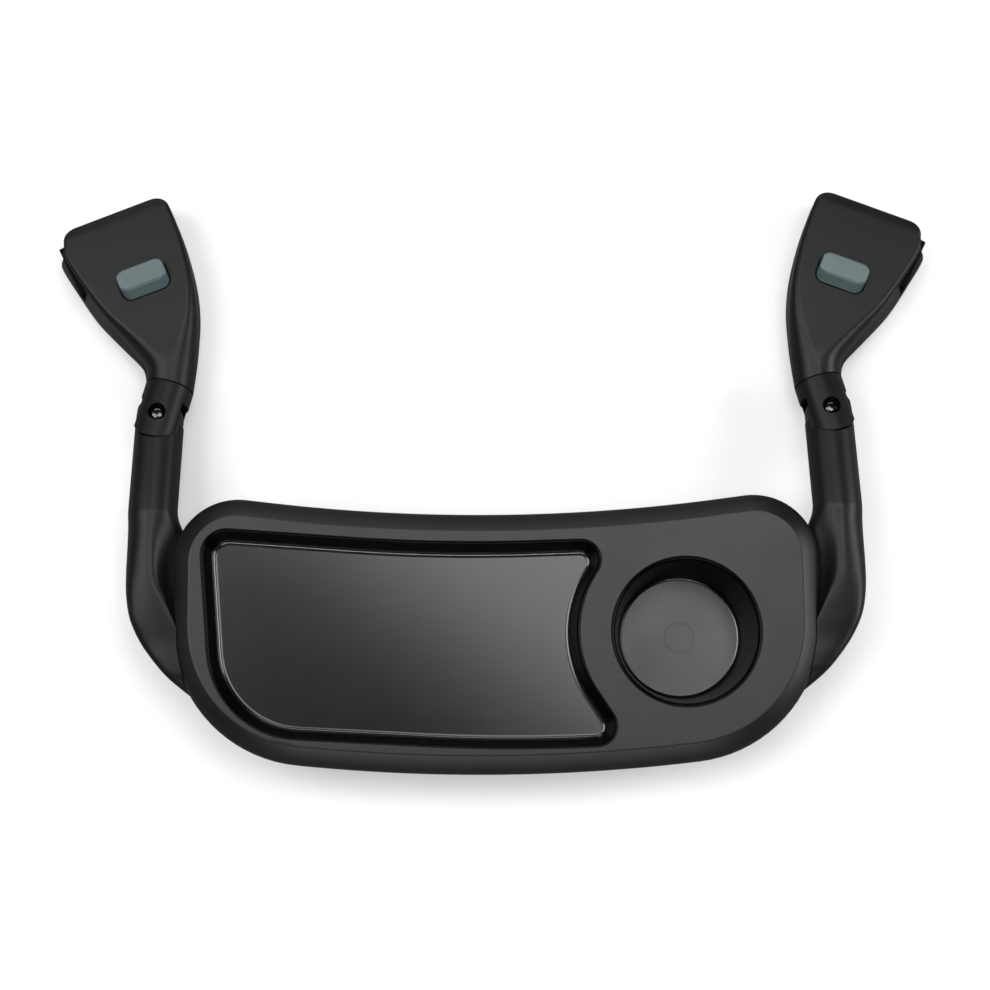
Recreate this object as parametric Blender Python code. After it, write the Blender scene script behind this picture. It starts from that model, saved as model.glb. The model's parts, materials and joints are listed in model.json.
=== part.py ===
# Snack tray for a stroller: a moulded tray with a snack well and a cup well, two arms screwed under
# its rim, and a clip head on a swing knuckle at the end of each arm.
# Metres, +Z up, +X to the cup's side, +Y toward the clip heads. The tray stands on its cup and heads.
import bpy
import bmesh
import math
from mathutils import Matrix, Vector

# General
wall = 0.0025                  # moulded wall thickness
gap = 0.0003                   # clearance between pieces that touch
overrun = 0.004                # how far a cutter reaches past what it cuts
arc_error = 0.0003             # farthest that a rounded corner's steps leave its true arc
arc_step = math.radians(30)  # longest step along a rounded corner
smooth_angle = math.radians(35)
merge_distance = 0.000002

# Tray outline, seen from above and measured from the cup's centre line
tray_half_width = 0.1716
tray_back_corner = 0.0779
tray_back_dip = 0.0214
tray_front_corner = 0.0605
tray_front_bow = 0.0187
back_corner_radius = 0.034
front_corner_radius = 0.074
back_sweep_radius = 0.951
front_sweep_radius = 0.966

# Rim, skirt and ribs
bevel_width = 0.0103
bevel_drop = 0.0092
bevel_start = math.radians(24)
bevel_steps = 3
skirt_drop = 0.0162
rib_thickness = 0.0016
rib_lift = 0.0022              # how far above the skirt's edge the ribs stop
cross_rib_shares = (-0.72, -0.36, -0.02, 0.30, 0.582)

# Cup well
cup_side_land = 0.0318         # between its opening and the tray's side
cup_opening_radius = 0.0400
cup_floor_radius = 0.0311
cup_depth = 0.0438
cup_lip_radius = 0.0024
cup_fillet = 0.0020
cup_sides = 36

# Snack well: its corners are shares of the tray's half width and of its corners' places
well_depth = 0.0125
well_draft = 0.0022
well_lip_radius = 0.0016
well_fillet = 0.0022
well_to_cup_web = 0.0170
well_wrap = math.radians(33)   # how far the concave side wraps round the cup, each way
well_back_left_share = (-0.911, 0.761)
well_back_sag_share = (-0.175, 0.600)
well_back_right_share = 0.626
well_front_left_share = (-0.863, -0.846)
well_front_sag_share = (0.029, -1.000)
well_front_right_share = -0.964
well_back_left_radius = 0.013
well_front_left_radius = 0.049
well_tip_radius = 0.0100
well_sweep_radius = 0.950
fillet_steps = 2

# Knuckle
pin_outset = 0.0110            # how far outside the tray's side the pin stands
pin_y = 0.1204
pin_z = 0.0205
arm_slope = math.radians(11)
arm_toe = math.radians(1.5)
head_lean = math.radians(12)
barrel_radius = 0.0132
barrel_sides = 24
ear_reach = 0.0142
tongue_half_height = 0.0066
tongue_shoulder = 0.0052       # how far behind the pin the tongue narrows to its nose
tongue_inset = 0.0010          # how much smaller the tongue's nose is than the barrel
pin_radius = 0.0028
pin_head_radius = 0.0042
pin_head_height = 0.0018
pin_well_depth = 0.0032
pin_sides = 12
slot_mouth = 0.0050            # how far past the pin the collar's sides stay open
seam_reach = 0.0187            # from the pin to the seam between collar and head
spigot_radius = 0.0098
spigot_length = 0.0145
spigot_bore_radius = 0.0056
groove_depth = 0.0018
groove_start = 0.0050          # from the seam
groove_width = 0.0040

# Arm: across is measured from the tray's side, down from the rim's top, both outward positive
arm_tip_y = -0.0325            # the front end, under the tray's edge
arm_outer_reach = 0.0257
arm_foot_reach = 0.0166
arm_depth = 0.0285
arm_wall = 0.0024
arm_cover_height = 0.0050
arm_solid_length = 0.0235      # solid behind the pin, where the tongue takes the load
round_station_shares = (1.09, 0.87, 0.75, 0.66)
# Root stations: along the arm, then outer edge, ridge and inner shoulder as shares of the outer
# reach, inner edge as a share of the foot's reach, then top, shoulder and underside of the depth
root_station_shares = (
    (0.590, 0.99, 0.46, 0.06, 0.23, 0.09, 0.30, 1.05),
    (0.431, 1.00, 0.38, 0.05, 1.00, 0.07, 0.40, 0.97),
    (0.348, 0.965, 0.21, 0.02, 1.00, 0.09, 0.34, 0.95),
    (0.271, 0.848, 0.02, -0.10, 1.00, 0.14, 0.27, 0.93),
    (0.195, 0.638, -0.16, -0.25, 1.00, 0.19, 0.28, 0.90),
    (0.124, 0.339, -0.29, -0.36, 1.00, 0.25, 0.32, 0.86),
    (0.067, 0.035, -0.40, -0.46, 1.02, 0.32, 0.38, 0.81),
    (0.000, -0.44, -0.60, -0.66, 1.06, 0.55, 0.60, 0.70),
)
ring_share = math.sqrt(0.5)    # where the octagon's slanting points lie

# Screws
screw_radius = 0.0011
screw_head_radius = 0.0026
screw_head_height = 0.0018
screw_recess = 0.0024
screw_boss_radius = 0.0038
screw_bite = 0.0060            # how far a screw reaches into its boss
screw_sides = 6
foot_screw_inset = 0.0080      # from the tray's side
foot_screw_shares = (0.440, 0.235)
cover_screw_shares = (0.72,)
arm_screw_names = ("right_cover_screw", "right_foot_screw_back", "right_foot_screw_front")

# Head: each station runs from the inner edge to the outer edge, seen from above
head_reach = 0.1085            # along Y, from the seam to the far end
head_turn = math.radians(-1.8) # of its plan about the seam
head_width = 0.0580
head_height = 0.0290
head_corner_radius = 0.0060
head_edge_radius = 0.0024
head_outer_flare = 0.0060
head_inner_flare = 0.0017
head_wall = 0.0024
head_split_lift = 0.0009       # how far above the seam's centre the split starts
head_split_far_share = 0.32    # the split's height at the far end, of the head's height
# inner edge and outer edge as shares of width and reach, then top, underside, roundness, flare, tilt
head_station_shares = (
    ((-0.260, 0.109), (0.221, 0.113), 1.060, 0.105, 0.80, 0.35, 0.55),
    ((-0.278, 0.230), (0.376, 0.230), 1.035, 0.040, 0.45, 0.75, 0.25),
    ((-0.286, 0.389), (0.600, 0.380), 1.010, 0.000, 0.12, 1.00, 0.00),
    ((-0.253, 0.558), (0.798, 0.542), 0.990, 0.000, 0.00, 1.00, 0.00),
    ((-0.159, 0.763), (0.953, 0.689), 0.970, 0.000, 0.00, 1.00, 0.00),
)
head_end_share = ((-0.003, 1.000), (0.997, 0.812))
head_end_top_share = 0.955
head_screw_shares = ((-0.072, 0.205), (0.022, 0.885), (0.500, 0.395))
head_screw_names = ("right_neck_screw", "right_end_screw", "right_side_screw")
corner_steps = 3

# Release button
button_place_share = (0.195, 0.5416)
button_length = 0.0262
button_width = 0.0151
button_height = 0.0062
button_front_slope = 0.0042
button_corner_radius = 0.0050
button_edge_radius = 0.0010
button_hole_clearance = 0.00045
button_flange = 0.0012
button_flange_thickness = 0.0015
button_travel = 0.0030
stem_place_share = 0.33        # along the button, from its middle, of its length
stem_thickness = 0.0040
stem_width = 0.0070

# Button spring
spring_place_share = -0.22     # along the button, from its middle, of its length
spring_radius = 0.0031
spring_wire_radius = 0.0004
spring_turns = 5
spring_points_per_turn = 8
spring_wire_sides = 4
spring_seat_height = 0.0062
spring_post_radius = 0.0019
spring_post_height = 0.0130

# Clip socket in the head's outer wall, and the hook that reaches into it
socket_place_share = (0.925, 0.610)
socket_turn = math.radians(-30.7)
socket_length = 0.0290
socket_depth = 0.0140
socket_bottom = 0.0052
socket_top = 0.0232
socket_wall = 0.0018
socket_proud = 0.0006          # how far the socket stands out of the head's wall
lip_reach = 0.0010
lip_height = 0.0026
lip_ribs = 5
lip_rib_width = 0.0012
lip_rib_height = 0.0007
latch_bottom = 0.0100
latch_thickness = 0.0030
latch_width = 0.0080
latch_arm_width = 0.0060
latch_hook_reach = 0.0027      # how far the hook reaches into the socket
latch_pad_height = 0.0048
latch_window_clearance = 0.0006
rail_width = 0.0020

rim_z = cup_depth + wall
skirt_z = rim_z - skirt_drop
cup_x = tray_half_width - cup_side_land - cup_opening_radius
pin_x = tray_half_width + pin_outset
arm_span = pin_y - arm_tip_y
tongue_radius = barrel_radius - tongue_inset
slot_half_height = tongue_half_height + gap
pin_turn = math.pi / pin_sides # keeps the pin's edges clear of the barrel's


# Points and outlines

def rounded_outline(corners):
    """Closed outline through (x, y, radius) corners, each rounded as far as its sides allow."""
    places = [Vector(corner[:2]) for corner in corners]
    count = len(places)
    halves, reaches = [], []
    for index, corner in enumerate(corners):
        back = (places[index - 1] - places[index]).normalized()
        onward = (places[(index + 1) % count] - places[index]).normalized()
        half = back.angle(onward) / 2
        halves.append(half)
        reaches.append(corner[2] / math.tan(half))
    limited = list(reaches)
    for index in range(count):
        onward = (index + 1) % count
        room = (places[onward] - places[index]).length
        both = reaches[index] + reaches[onward]
        if both > room:
            limited[index] = min(limited[index], reaches[index] * room / both)
            limited[onward] = min(limited[onward], reaches[onward] * room / both)
    points = []
    for index, place in enumerate(places):
        back = (places[index - 1] - place).normalized()
        onward = (places[(index + 1) % count] - place).normalized()
        radius = limited[index] * math.tan(halves[index])
        centre = place + (back + onward).normalized() * (radius / math.sin(halves[index]))
        start = place + back * limited[index] - centre
        sweep = math.pi - 2 * halves[index]
        if back.x * onward.y - back.y * onward.x > 0:
            sweep = -sweep
        longest = min(arc_step, 2 * math.acos(1 - min(arc_error / radius, 1)))
        steps = max(2, math.ceil(abs(sweep) / longest))
        for step in range(steps + 1):
            turn = Matrix.Rotation(sweep * step / steps, 2)
            points.append(centre + turn @ start)
    return tidy_loop(points)


def tidy_loop(points):
    """Drops points that fall on the one before."""
    kept = []
    for point in points:
        if not kept or (point - kept[-1]).length > gap:
            kept.append(point)
    if (kept[0] - kept[-1]).length <= gap:
        kept.pop()
    return kept


def offset_outline(points, distance):
    """The same outline moved outward by a distance; it runs counterclockwise."""
    moved = []
    for index, point in enumerate(points):
        before = (point - points[index - 1]).normalized()
        after = (points[(index + 1) % len(points)] - point).normalized()
        along = (before + after).normalized()
        outward = Vector((along.y, -along.x))
        moved.append(point + outward * (distance / max(before.dot(along), ring_share)))
    return moved


def blend(a, b, c, d, t):
    """A smooth value between b and c, for numbers and vectors."""
    return 0.5 * ((2 * b) + (c - a) * t + (2 * a - 5 * b + 4 * c - d) * t ** 2
                  + (3 * b - a - 3 * c + d) * t ** 3)


def smooth_loop(points, steps):
    count = len(points)
    return [blend(points[index - 1], points[index], points[(index + 1) % count],
                  points[(index + 2) % count], step / steps)
            for index in range(count) for step in range(steps)]


def smooth_chain(rows, steps, straight=0):
    """Fills in rows of equal length between the given ones, smoothly, after a straight stretch."""
    filled = list(rows[:straight])
    last = len(rows) - 1
    for index in range(straight, last):
        a, b = rows[max(index - 1, 0)], rows[index]
        c, d = rows[index + 1], rows[min(index + 2, last)]
        for step in range(steps):
            filled.append([blend(*four, step / steps) for four in zip(a, b, c, d)])
    filled.append(rows[last])
    return filled


def raised(points, z):
    return [Vector((point.x, point.y, z)) for point in points]


def circle(radius, sides, turn=0.0):
    return [Vector((math.cos(turn + math.tau * side / sides), math.sin(turn + math.tau * side / sides)))
            * radius for side in range(sides)]


def rectangle(left, right, front, back, radius=0.0):
    if radius <= 0:
        return [Vector(place) for place in ((left, front), (right, front), (right, back), (left, back))]
    return rounded_outline([(left, front, radius), (right, front, radius),
                            (right, back, radius), (left, back, radius)])


# Solids

def add_object(name, mesh, frame=Matrix()):
    thing = bpy.data.objects.new(name, mesh)
    bpy.context.collection.objects.link(thing)
    thing.matrix_world = frame
    return thing


def loft(rings, name="shape", frame=Matrix()):
    """A closed solid through rings that have the same number of points."""
    bm = bmesh.new()
    loops = [[bm.verts.new(point) for point in ring] for ring in rings]
    for lower, upper in zip(loops, loops[1:]):
        for index in range(len(lower)):
            onward = (index + 1) % len(lower)
            bm.faces.new((lower[index], lower[onward], upper[onward], upper[index]))
    bm.faces.new(loops[0])
    bm.faces.new(loops[-1])
    bmesh.ops.recalc_face_normals(bm, faces=bm.faces)
    mesh = bpy.data.meshes.new(name)
    bm.to_mesh(mesh)
    bm.free()
    return add_object(name, mesh, frame)


def prism(outline, low, high, frame=Matrix()):
    return loft([raised(outline, low), raised(outline, high)], frame=frame)


def block(x_range, y_range, z_range, frame=Matrix()):
    return prism(rectangle(*x_range, *y_range), *z_range, frame=frame)


def turned(profile, sides, frame=Matrix(), turn=0.0):
    """A solid turned about Z from (radius, z) steps, bottom to top."""
    return loft([raised(circle(radius, sides, turn), z) for radius, z in profile], frame=frame)


def combine(target, tool, operation, keep_tool=False):
    modifier = target.modifiers.new("combine", 'BOOLEAN')
    modifier.operation = operation
    modifier.solver = 'EXACT'
    modifier.object = tool
    bpy.context.view_layer.objects.active = target
    bpy.ops.object.modifier_apply(modifier=modifier.name)
    if not keep_tool:
        bpy.data.objects.remove(tool)
    weld(target.data)
    return target


def weld(mesh):
    bm = bmesh.new()
    bm.from_mesh(mesh)
    bmesh.ops.remove_doubles(bm, verts=bm.verts, dist=merge_distance)
    bmesh.ops.dissolve_degenerate(bm, edges=bm.edges, dist=merge_distance)
    bm.to_mesh(mesh)
    bm.free()


def cut(target, tool, keep_tool=False):
    return combine(target, tool, 'DIFFERENCE', keep_tool)


def join(target, tool):
    return combine(target, tool, 'UNION')


def keep_inside(target, tool, keep_tool=False):
    return combine(target, tool, 'INTERSECT', keep_tool)


def copy_of(thing, name="shape"):
    return add_object(name, thing.data.copy(), thing.matrix_world.copy())


def finish(thing, name, material):
    """Names a piece, shades it and gives it its material."""
    thing.name = name
    thing.data.name = name
    thing.data.materials.clear()
    thing.data.materials.append(material)
    thing.data.shade_smooth()
    thing.data.set_sharp_from_angle(angle=smooth_angle)
    return thing


def make_material(name, colour, roughness, metallic=0.0):
    material = bpy.data.materials.new(name)
    material.use_nodes = True
    shader = material.node_tree.nodes["Principled BSDF"]
    shader.inputs["Base Color"].default_value = (*colour, 1.0)
    shader.inputs["Roughness"].default_value = roughness
    shader.inputs["Metallic"].default_value = metallic
    return material


# Tray

def tray_outline():
    back, front = tray_back_corner, -tray_front_corner
    return rounded_outline([
        (0, back - tray_back_dip, back_sweep_radius),
        (-tray_half_width, back, back_corner_radius),
        (-tray_half_width, front, front_corner_radius),
        (0, front - tray_front_bow, front_sweep_radius),
        (tray_half_width, front, front_corner_radius),
        (tray_half_width, back, back_corner_radius),
    ])


def well_outline():
    """The snack well's opening, with a concave side that follows the cup."""
    bend = cup_opening_radius + well_to_cup_web
    touch_x, touch_y = cup_x - bend * math.cos(well_wrap), bend * math.sin(well_wrap)
    back_y = well_back_right_share * tray_back_corner
    front_y = well_front_right_share * tray_front_corner
    lean = math.tan(well_wrap)

    def place(share, radius):
        depth = tray_back_corner if share[1] > 0 else tray_front_corner
        return (share[0] * tray_half_width, share[1] * depth, radius)

    return rounded_outline([
        place(well_back_sag_share, well_sweep_radius),
        place(well_back_left_share, well_back_left_radius),
        place(well_front_left_share, well_front_left_radius),
        place(well_front_sag_share, well_sweep_radius),
        (touch_x - (front_y + touch_y) * lean, front_y, well_tip_radius),
        (cup_x - bend / math.cos(well_wrap), 0, bend),
        (touch_x + (back_y - touch_y) * lean, back_y, well_tip_radius),
    ])


def rim_profile(inset=0.0):
    """Steps of (inset, drop) down the rim's edge, from the flat top to the skirt's edge."""
    steps = []
    first = math.sin(bevel_start)
    for step in range(bevel_steps + 1):
        angle = bevel_start + (math.pi / 2 - bevel_start) * step / bevel_steps
        along = (math.sin(angle) - first) / (1 - first)
        down = (math.cos(bevel_start) - math.cos(angle)) / math.cos(bevel_start)
        steps.append((inset + bevel_width * (1 - along), inset + bevel_drop * down))
    steps.append((inset, skirt_drop))
    return steps


def tray_envelope(clearance):
    """The closed space inside the rim and skirt, made larger by a clearance."""
    outline = tray_outline()
    rings = [raised(offset_outline(outline, clearance - bevel_width), rim_z + overrun)]
    for inset, drop in rim_profile():
        rings.append(raised(offset_outline(outline, clearance - inset), rim_z + clearance - drop))
    rings[-1] = raised(offset_outline(outline, clearance), skirt_z - clearance)
    return loft(rings)


def rim_shell():
    outline = tray_outline()
    outer = loft([raised(offset_outline(outline, -inset), rim_z - drop)
                  for inset, drop in rim_profile()])
    inner = [raised(offset_outline(outline, -inset), rim_z - drop)
             for inset, drop in rim_profile(wall)]
    inner[-1] = raised(offset_outline(outline, -wall), skirt_z - overrun)
    return cut(outer, loft(inner))


def inner_space():
    """The space that ribs and bosses may fill, up into the middle of the rim's wall."""
    outline = tray_outline()
    return loft([raised(offset_outline(outline, -inset), rim_z - drop)
                 for inset, drop in rim_profile(wall / 2)])


def lipped_hole(outline, depth, lip, draft, fillet):
    """A cutter for a well: rounded lip, drafted wall, filleted floor."""
    rings = [raised(offset_outline(outline, lip), rim_z + overrun)]
    for step in range(fillet_steps + 1):
        angle = math.pi / 2 * step / fillet_steps
        rings.append(raised(offset_outline(outline, lip * (1 - math.sin(angle))),
                            rim_z - lip * (1 - math.cos(angle))))
    for step in range(fillet_steps + 1):
        angle = math.pi / 2 * step / fillet_steps
        rings.append(raised(offset_outline(outline, -draft - fillet * (1 - math.cos(angle))),
                            rim_z - depth + fillet * (1 - math.sin(angle))))
    return loft(rings)


def cup_outline():
    return [point + Vector((cup_x, 0)) for point in circle(cup_opening_radius - cup_lip_radius, cup_sides)]


def foot_screw_places():
    x = tray_half_width - foot_screw_inset
    return [Vector((x, arm_tip_y + share * arm_span)) for share in foot_screw_shares]


def make_tray(material):
    tray = rim_shell()
    tray_back, tray_front = tray_back_corner + overrun, -tray_front_corner - tray_front_bow - overrun
    ribs = block((-tray_half_width, tray_half_width), (-rib_thickness / 2, rib_thickness / 2),
                 (skirt_z + rib_lift, rim_z))
    for share in cross_rib_shares:
        x = share * tray_half_width
        join(ribs, block((x - rib_thickness / 2, x + rib_thickness / 2), (tray_front, tray_back),
                         (skirt_z + rib_lift, rim_z)))
    join(tray, keep_inside(ribs, inner_space()))
    for place in foot_screw_places():
        for side in (1, -1):
            boss = turned([(screw_boss_radius, skirt_z), (screw_boss_radius, rim_z - wall / 2)], screw_sides,
                          Matrix.Translation((place.x * side, place.y, 0)))
            join(tray, keep_inside(boss, inner_space()))

    well = well_outline()
    well_wall = well_lip_radius + wall
    bowl = loft([raised(offset_outline(well, wall - well_draft), rim_z - well_depth - wall),
                 raised(offset_outline(well, well_wall - well_lip_radius), rim_z - well_depth + wall),
                 raised(offset_outline(well, wall), rim_z - wall / 2)])
    join(tray, bowl)
    cup = cup_outline()
    cup_draft = cup_opening_radius - cup_lip_radius - cup_floor_radius - cup_fillet
    join(tray, loft([raised(offset_outline(cup, wall - cup_draft - wall), 0),
                     raised(offset_outline(cup, wall - cup_draft), wall),
                     raised(offset_outline(cup, wall), rim_z - wall / 2)]))
    cut(tray, lipped_hole(offset_outline(well, -well_lip_radius), well_depth, well_lip_radius,
                          well_draft, well_fillet))
    cut(tray, lipped_hole(cup, cup_depth, cup_lip_radius, cup_draft, cup_fillet))
    for place in foot_screw_places():
        for side in (1, -1):
            cut(tray, turned([(screw_radius + gap, skirt_z - overrun),
                              (screw_radius + gap, skirt_z + screw_bite + gap)], screw_sides,
                             Matrix.Translation((place.x * side, place.y, 0))))
    return finish(tray, "tray_shell", material)


# Arm, modelled on the cup's side; the other side is its mirror image

def knuckle_frame():
    """On the pin: X outward across the arm, Y along the arm to the head, Z along the pin."""
    return (Matrix.Translation((pin_x, pin_y, pin_z)) @ Matrix.Rotation(arm_toe, 4, 'Z')
            @ Matrix.Rotation(-arm_slope, 4, 'X'))


def collar_frame():
    return knuckle_frame() @ Matrix.Rotation(head_lean, 4, 'Z')


def section(along, outer, ridge, shoulder, inner, top, shoulder_z, under):
    """One cross-section of the arm: a row of (x, y, z) for eight points, counterclockwise."""
    y = arm_tip_y + along * arm_span
    height = top - under
    low, high = under + height * (1 - ring_share) / 2, under + height * (1 + ring_share) / 2
    middle = (outer + inner) / 2
    outer_slant = ridge + (outer - ridge) * ring_share
    inner_slant = middle - (middle - inner) * ring_share
    points = ((outer, (top + under) / 2), (outer_slant, high), (ridge, top), (shoulder, shoulder_z),
              (inner, (top + under) / 2), (inner_slant, low), (middle, under), (outer_slant, low))
    return [Vector((x, y, z)) for x, z in points]


def arm_stations():
    rows = []
    for along in round_station_shares:
        back = (1 - along) * arm_span
        x = pin_x + back * math.tan(arm_toe)
        z = pin_z + back * math.tan(arm_slope)
        radius = barrel_radius
        rows.append(section(along, x + radius, x, x - radius * ring_share, x - radius,
                            z + radius, z + radius * ring_share, z - radius))
    for along, outer, ridge, shoulder, inner, top, shoulder_z, under in root_station_shares:
        rows.append(section(along, tray_half_width + outer * arm_outer_reach,
                            tray_half_width + ridge * arm_outer_reach,
                            tray_half_width + shoulder * arm_outer_reach,
                            tray_half_width - inner * arm_foot_reach,
                            rim_z - top * arm_depth, rim_z - shoulder_z * arm_depth,
                            rim_z - under * arm_depth))
    return rows


def arm_sections():
    return smooth_chain(arm_stations(), 2, len(round_station_shares) - 1)


def arm_loft():
    """The arm's outer form."""
    return loft([smooth_loop(row, 2) for row in arm_sections()])


def arm_at(share):
    """The arm's middle, top and underside at a place along it."""
    y = arm_tip_y + share * arm_span
    rows = arm_sections()
    after, before = next((a, b) for a, b in zip(rows, rows[1:]) if a[0].y >= y >= b[0].y)
    part = (y - before[0].y) / (after[0].y - before[0].y)
    row = [low.lerp(high, part) for low, high in zip(before, after)]
    return row[6].x, y, row[2].z, row[6].z


def arm_screw_places():
    """Each screw's place, its seat's height and the top of its boss."""
    places = []
    for share in cover_screw_shares:
        x, y, top, under = arm_at(share)
        places.append((x, y, under, top - arm_wall / 2))
    for place, share in zip(foot_screw_places(), foot_screw_shares):
        under = arm_at(share)[3]
        places.append((place.x, place.y, under, skirt_z - gap - arm_wall / 2))
    return places


def lower_space(clearance):
    """The space of the arm's lower cover, made larger by a clearance."""
    first, last = pin_y - arm_solid_length, arm_tip_y + 2 * arm_wall
    rings = []
    for row in arm_stations():
        y = row[0].y
        if y > first or y < last:
            continue
        left, right = row[4].x - overrun, row[0].x + overrun
        low, high = row[6].z - overrun, row[6].z + arm_cover_height + clearance
        rings.append([Vector((x, y, z)) for x, z in ((left, low), (right, low), (right, high), (left, high))])
    for ring, shift in ((rings[0], clearance), (rings[-1], -clearance)):
        for point in ring:
            point.y += shift
    return loft(rings)


def arm_hollow():
    rings = []
    for row in arm_stations():
        y = row[0].y
        if arm_tip_y + arm_wall < y < pin_y - arm_solid_length:
            flat = offset_outline([Vector((point.x, point.z)) for point in row], -arm_wall)
            rings.append([Vector((point.x, y, point.y)) for point in flat])
    return cut(loft(rings), tray_envelope(gap + arm_wall))


def cut_tongue(arm):
    """Leaves only a flat tongue, rounded about the pin, between the collar's ears."""
    frame = knuckle_frame()
    beyond, swing_room = barrel_radius + overrun, ear_reach + gap
    for low, high in ((tongue_half_height, beyond), (-beyond, -tongue_half_height)):
        cut(arm, turned([(swing_room, low), (swing_room, high)], barrel_sides, frame))
    nose = block((-beyond, beyond), (-tongue_shoulder, swing_room + overrun), (-beyond, beyond), frame)
    cut(nose, turned([(tongue_radius, -beyond - overrun), (tongue_radius, beyond + overrun)],
                     barrel_sides, frame))
    cut(arm, nose)
    cut(arm, turned([(pin_radius + gap, -barrel_radius), (pin_radius + gap, barrel_radius)],
                    pin_sides, frame, pin_turn))


def make_arm_upper(material):
    arm = cut(arm_loft(), tray_envelope(gap))
    cut(arm, arm_hollow())
    for x, y, under, top in arm_screw_places():
        join(arm, turned([(screw_boss_radius, under + arm_cover_height), (screw_boss_radius, top)],
                         screw_sides, Matrix.Translation((x, y, 0))))
    cut(arm, lower_space(0))
    for x, y, under, top in arm_screw_places():
        low = under + arm_cover_height - overrun
        high = top - arm_wall
        if top < skirt_z:
            high = skirt_z + overrun
        cut(arm, turned([(screw_radius + gap, low), (screw_radius + gap, high)], screw_sides,
                        Matrix.Translation((x, y, 0))))

    cut_tongue(arm)
    return finish(arm, "right_arm_upper", material)


def make_arm_cover(material):
    cover = keep_inside(arm_loft(), lower_space(-gap))
    cut(cover, tray_envelope(gap))
    cut(cover, arm_hollow())
    for x, y, under, top in arm_screw_places():
        place = Matrix.Translation((x, y, 0))
        boss_top = under + arm_cover_height - 2 * gap
        join(cover, turned([(screw_boss_radius, under + arm_wall / 2), (screw_boss_radius, boss_top)],
                           screw_sides, place))
        cut(cover, turned([(screw_head_radius + gap, under - overrun),
                           (screw_head_radius + gap, under + screw_recess)], screw_sides, place))
        cut(cover, turned([(screw_radius + gap, under), (screw_radius + gap, boss_top + overrun)],
                          screw_sides, place))
    return finish(cover, "right_arm_cover", material)


def screw(x, y, seat, tip):
    """A pan-head screw that points up, its head's shoulder just under its seat."""
    head_top = seat - gap
    rise = screw_head_height / 3
    return turned([(screw_head_radius - rise, head_top - screw_head_height),
                   (screw_head_radius, head_top - screw_head_height + rise), (screw_head_radius, head_top),
                   (screw_radius, head_top), (screw_radius, tip)],
                  screw_sides, Matrix.Translation((x, y, 0)))


def make_arm_screws(material):
    screws = []
    for name, (x, y, under, top) in zip(arm_screw_names, arm_screw_places()):
        tip = under + arm_cover_height + screw_bite
        if top < skirt_z:
            tip = skirt_z + screw_bite
        screws.append(finish(screw(x, y, under + screw_recess, tip), name, material))
    return screws


# Knuckle

def make_collar(material):
    """Two ears round the tongue, a barrel, and a spigot that the head clamps."""
    frame = collar_frame()
    along = frame @ Matrix.Rotation(-math.pi / 2, 4, 'X')
    groove = seam_reach + groove_start
    end = seam_reach + spigot_length
    collar = turned([(barrel_radius, -ear_reach - overrun), (barrel_radius, seam_reach),
                     (spigot_radius, seam_reach), (spigot_radius, groove),
                     (spigot_radius - groove_depth, groove),
                     (spigot_radius - groove_depth, groove + groove_width),
                     (spigot_radius, groove + groove_width), (spigot_radius, end)], barrel_sides, along)
    beyond = barrel_radius + overrun
    cut(collar, turned([(tongue_radius + gap, -slot_half_height), (tongue_radius + gap, slot_half_height)],
                       barrel_sides, frame))
    cut(collar, block((-beyond, beyond), (-ear_reach - 2 * overrun, slot_mouth),
                      (-slot_half_height, slot_half_height), frame))
    ears = turned([(ear_reach, -beyond), (ear_reach, beyond)], barrel_sides, frame)
    join(ears, block((-beyond, beyond), (0, end + overrun), (-beyond, beyond), frame))
    keep_inside(collar, ears)
    well_floor = barrel_radius - pin_well_depth
    for radius, low, high in ((pin_radius + gap, -beyond, beyond),
                              (pin_head_radius + 2 * gap, well_floor, beyond),
                              (pin_head_radius + 2 * gap, -beyond, -well_floor)):
        cut(collar, turned([(radius, low), (radius, high)], pin_sides, frame, pin_turn))
    cut(collar, turned([(spigot_bore_radius, groove), (spigot_bore_radius, end + overrun)],
                       pin_sides, along, pin_turn))
    return finish(collar, "right_knuckle_collar", material)


def make_pin(material):
    """A rivet with a domed head sunk in each ear."""
    seat = barrel_radius - pin_well_depth + gap
    dome = [(pin_head_radius, seat), (pin_head_radius * 0.9, seat + pin_head_height * 0.55),
            (pin_head_radius * 0.5, seat + pin_head_height)]
    profile = [(radius, -z) for radius, z in reversed(dome)]
    profile += [(pin_radius, -seat), (pin_radius, seat)] + dome
    return finish(turned(profile, pin_sides, collar_frame(), pin_turn), "right_knuckle_pin", material)


# Head

def seam_centre():
    return collar_frame() @ Vector((0, seam_reach, 0))


def head_point(share, z=0.0):
    """A place over the head's plan, from shares of its width and reach."""
    centre = seam_centre()
    place = Matrix.Rotation(head_turn, 2) @ Vector((share[0] * head_width, share[1] * head_reach))
    return Vector((centre.x + place.x, centre.y + place.y, z))


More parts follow.
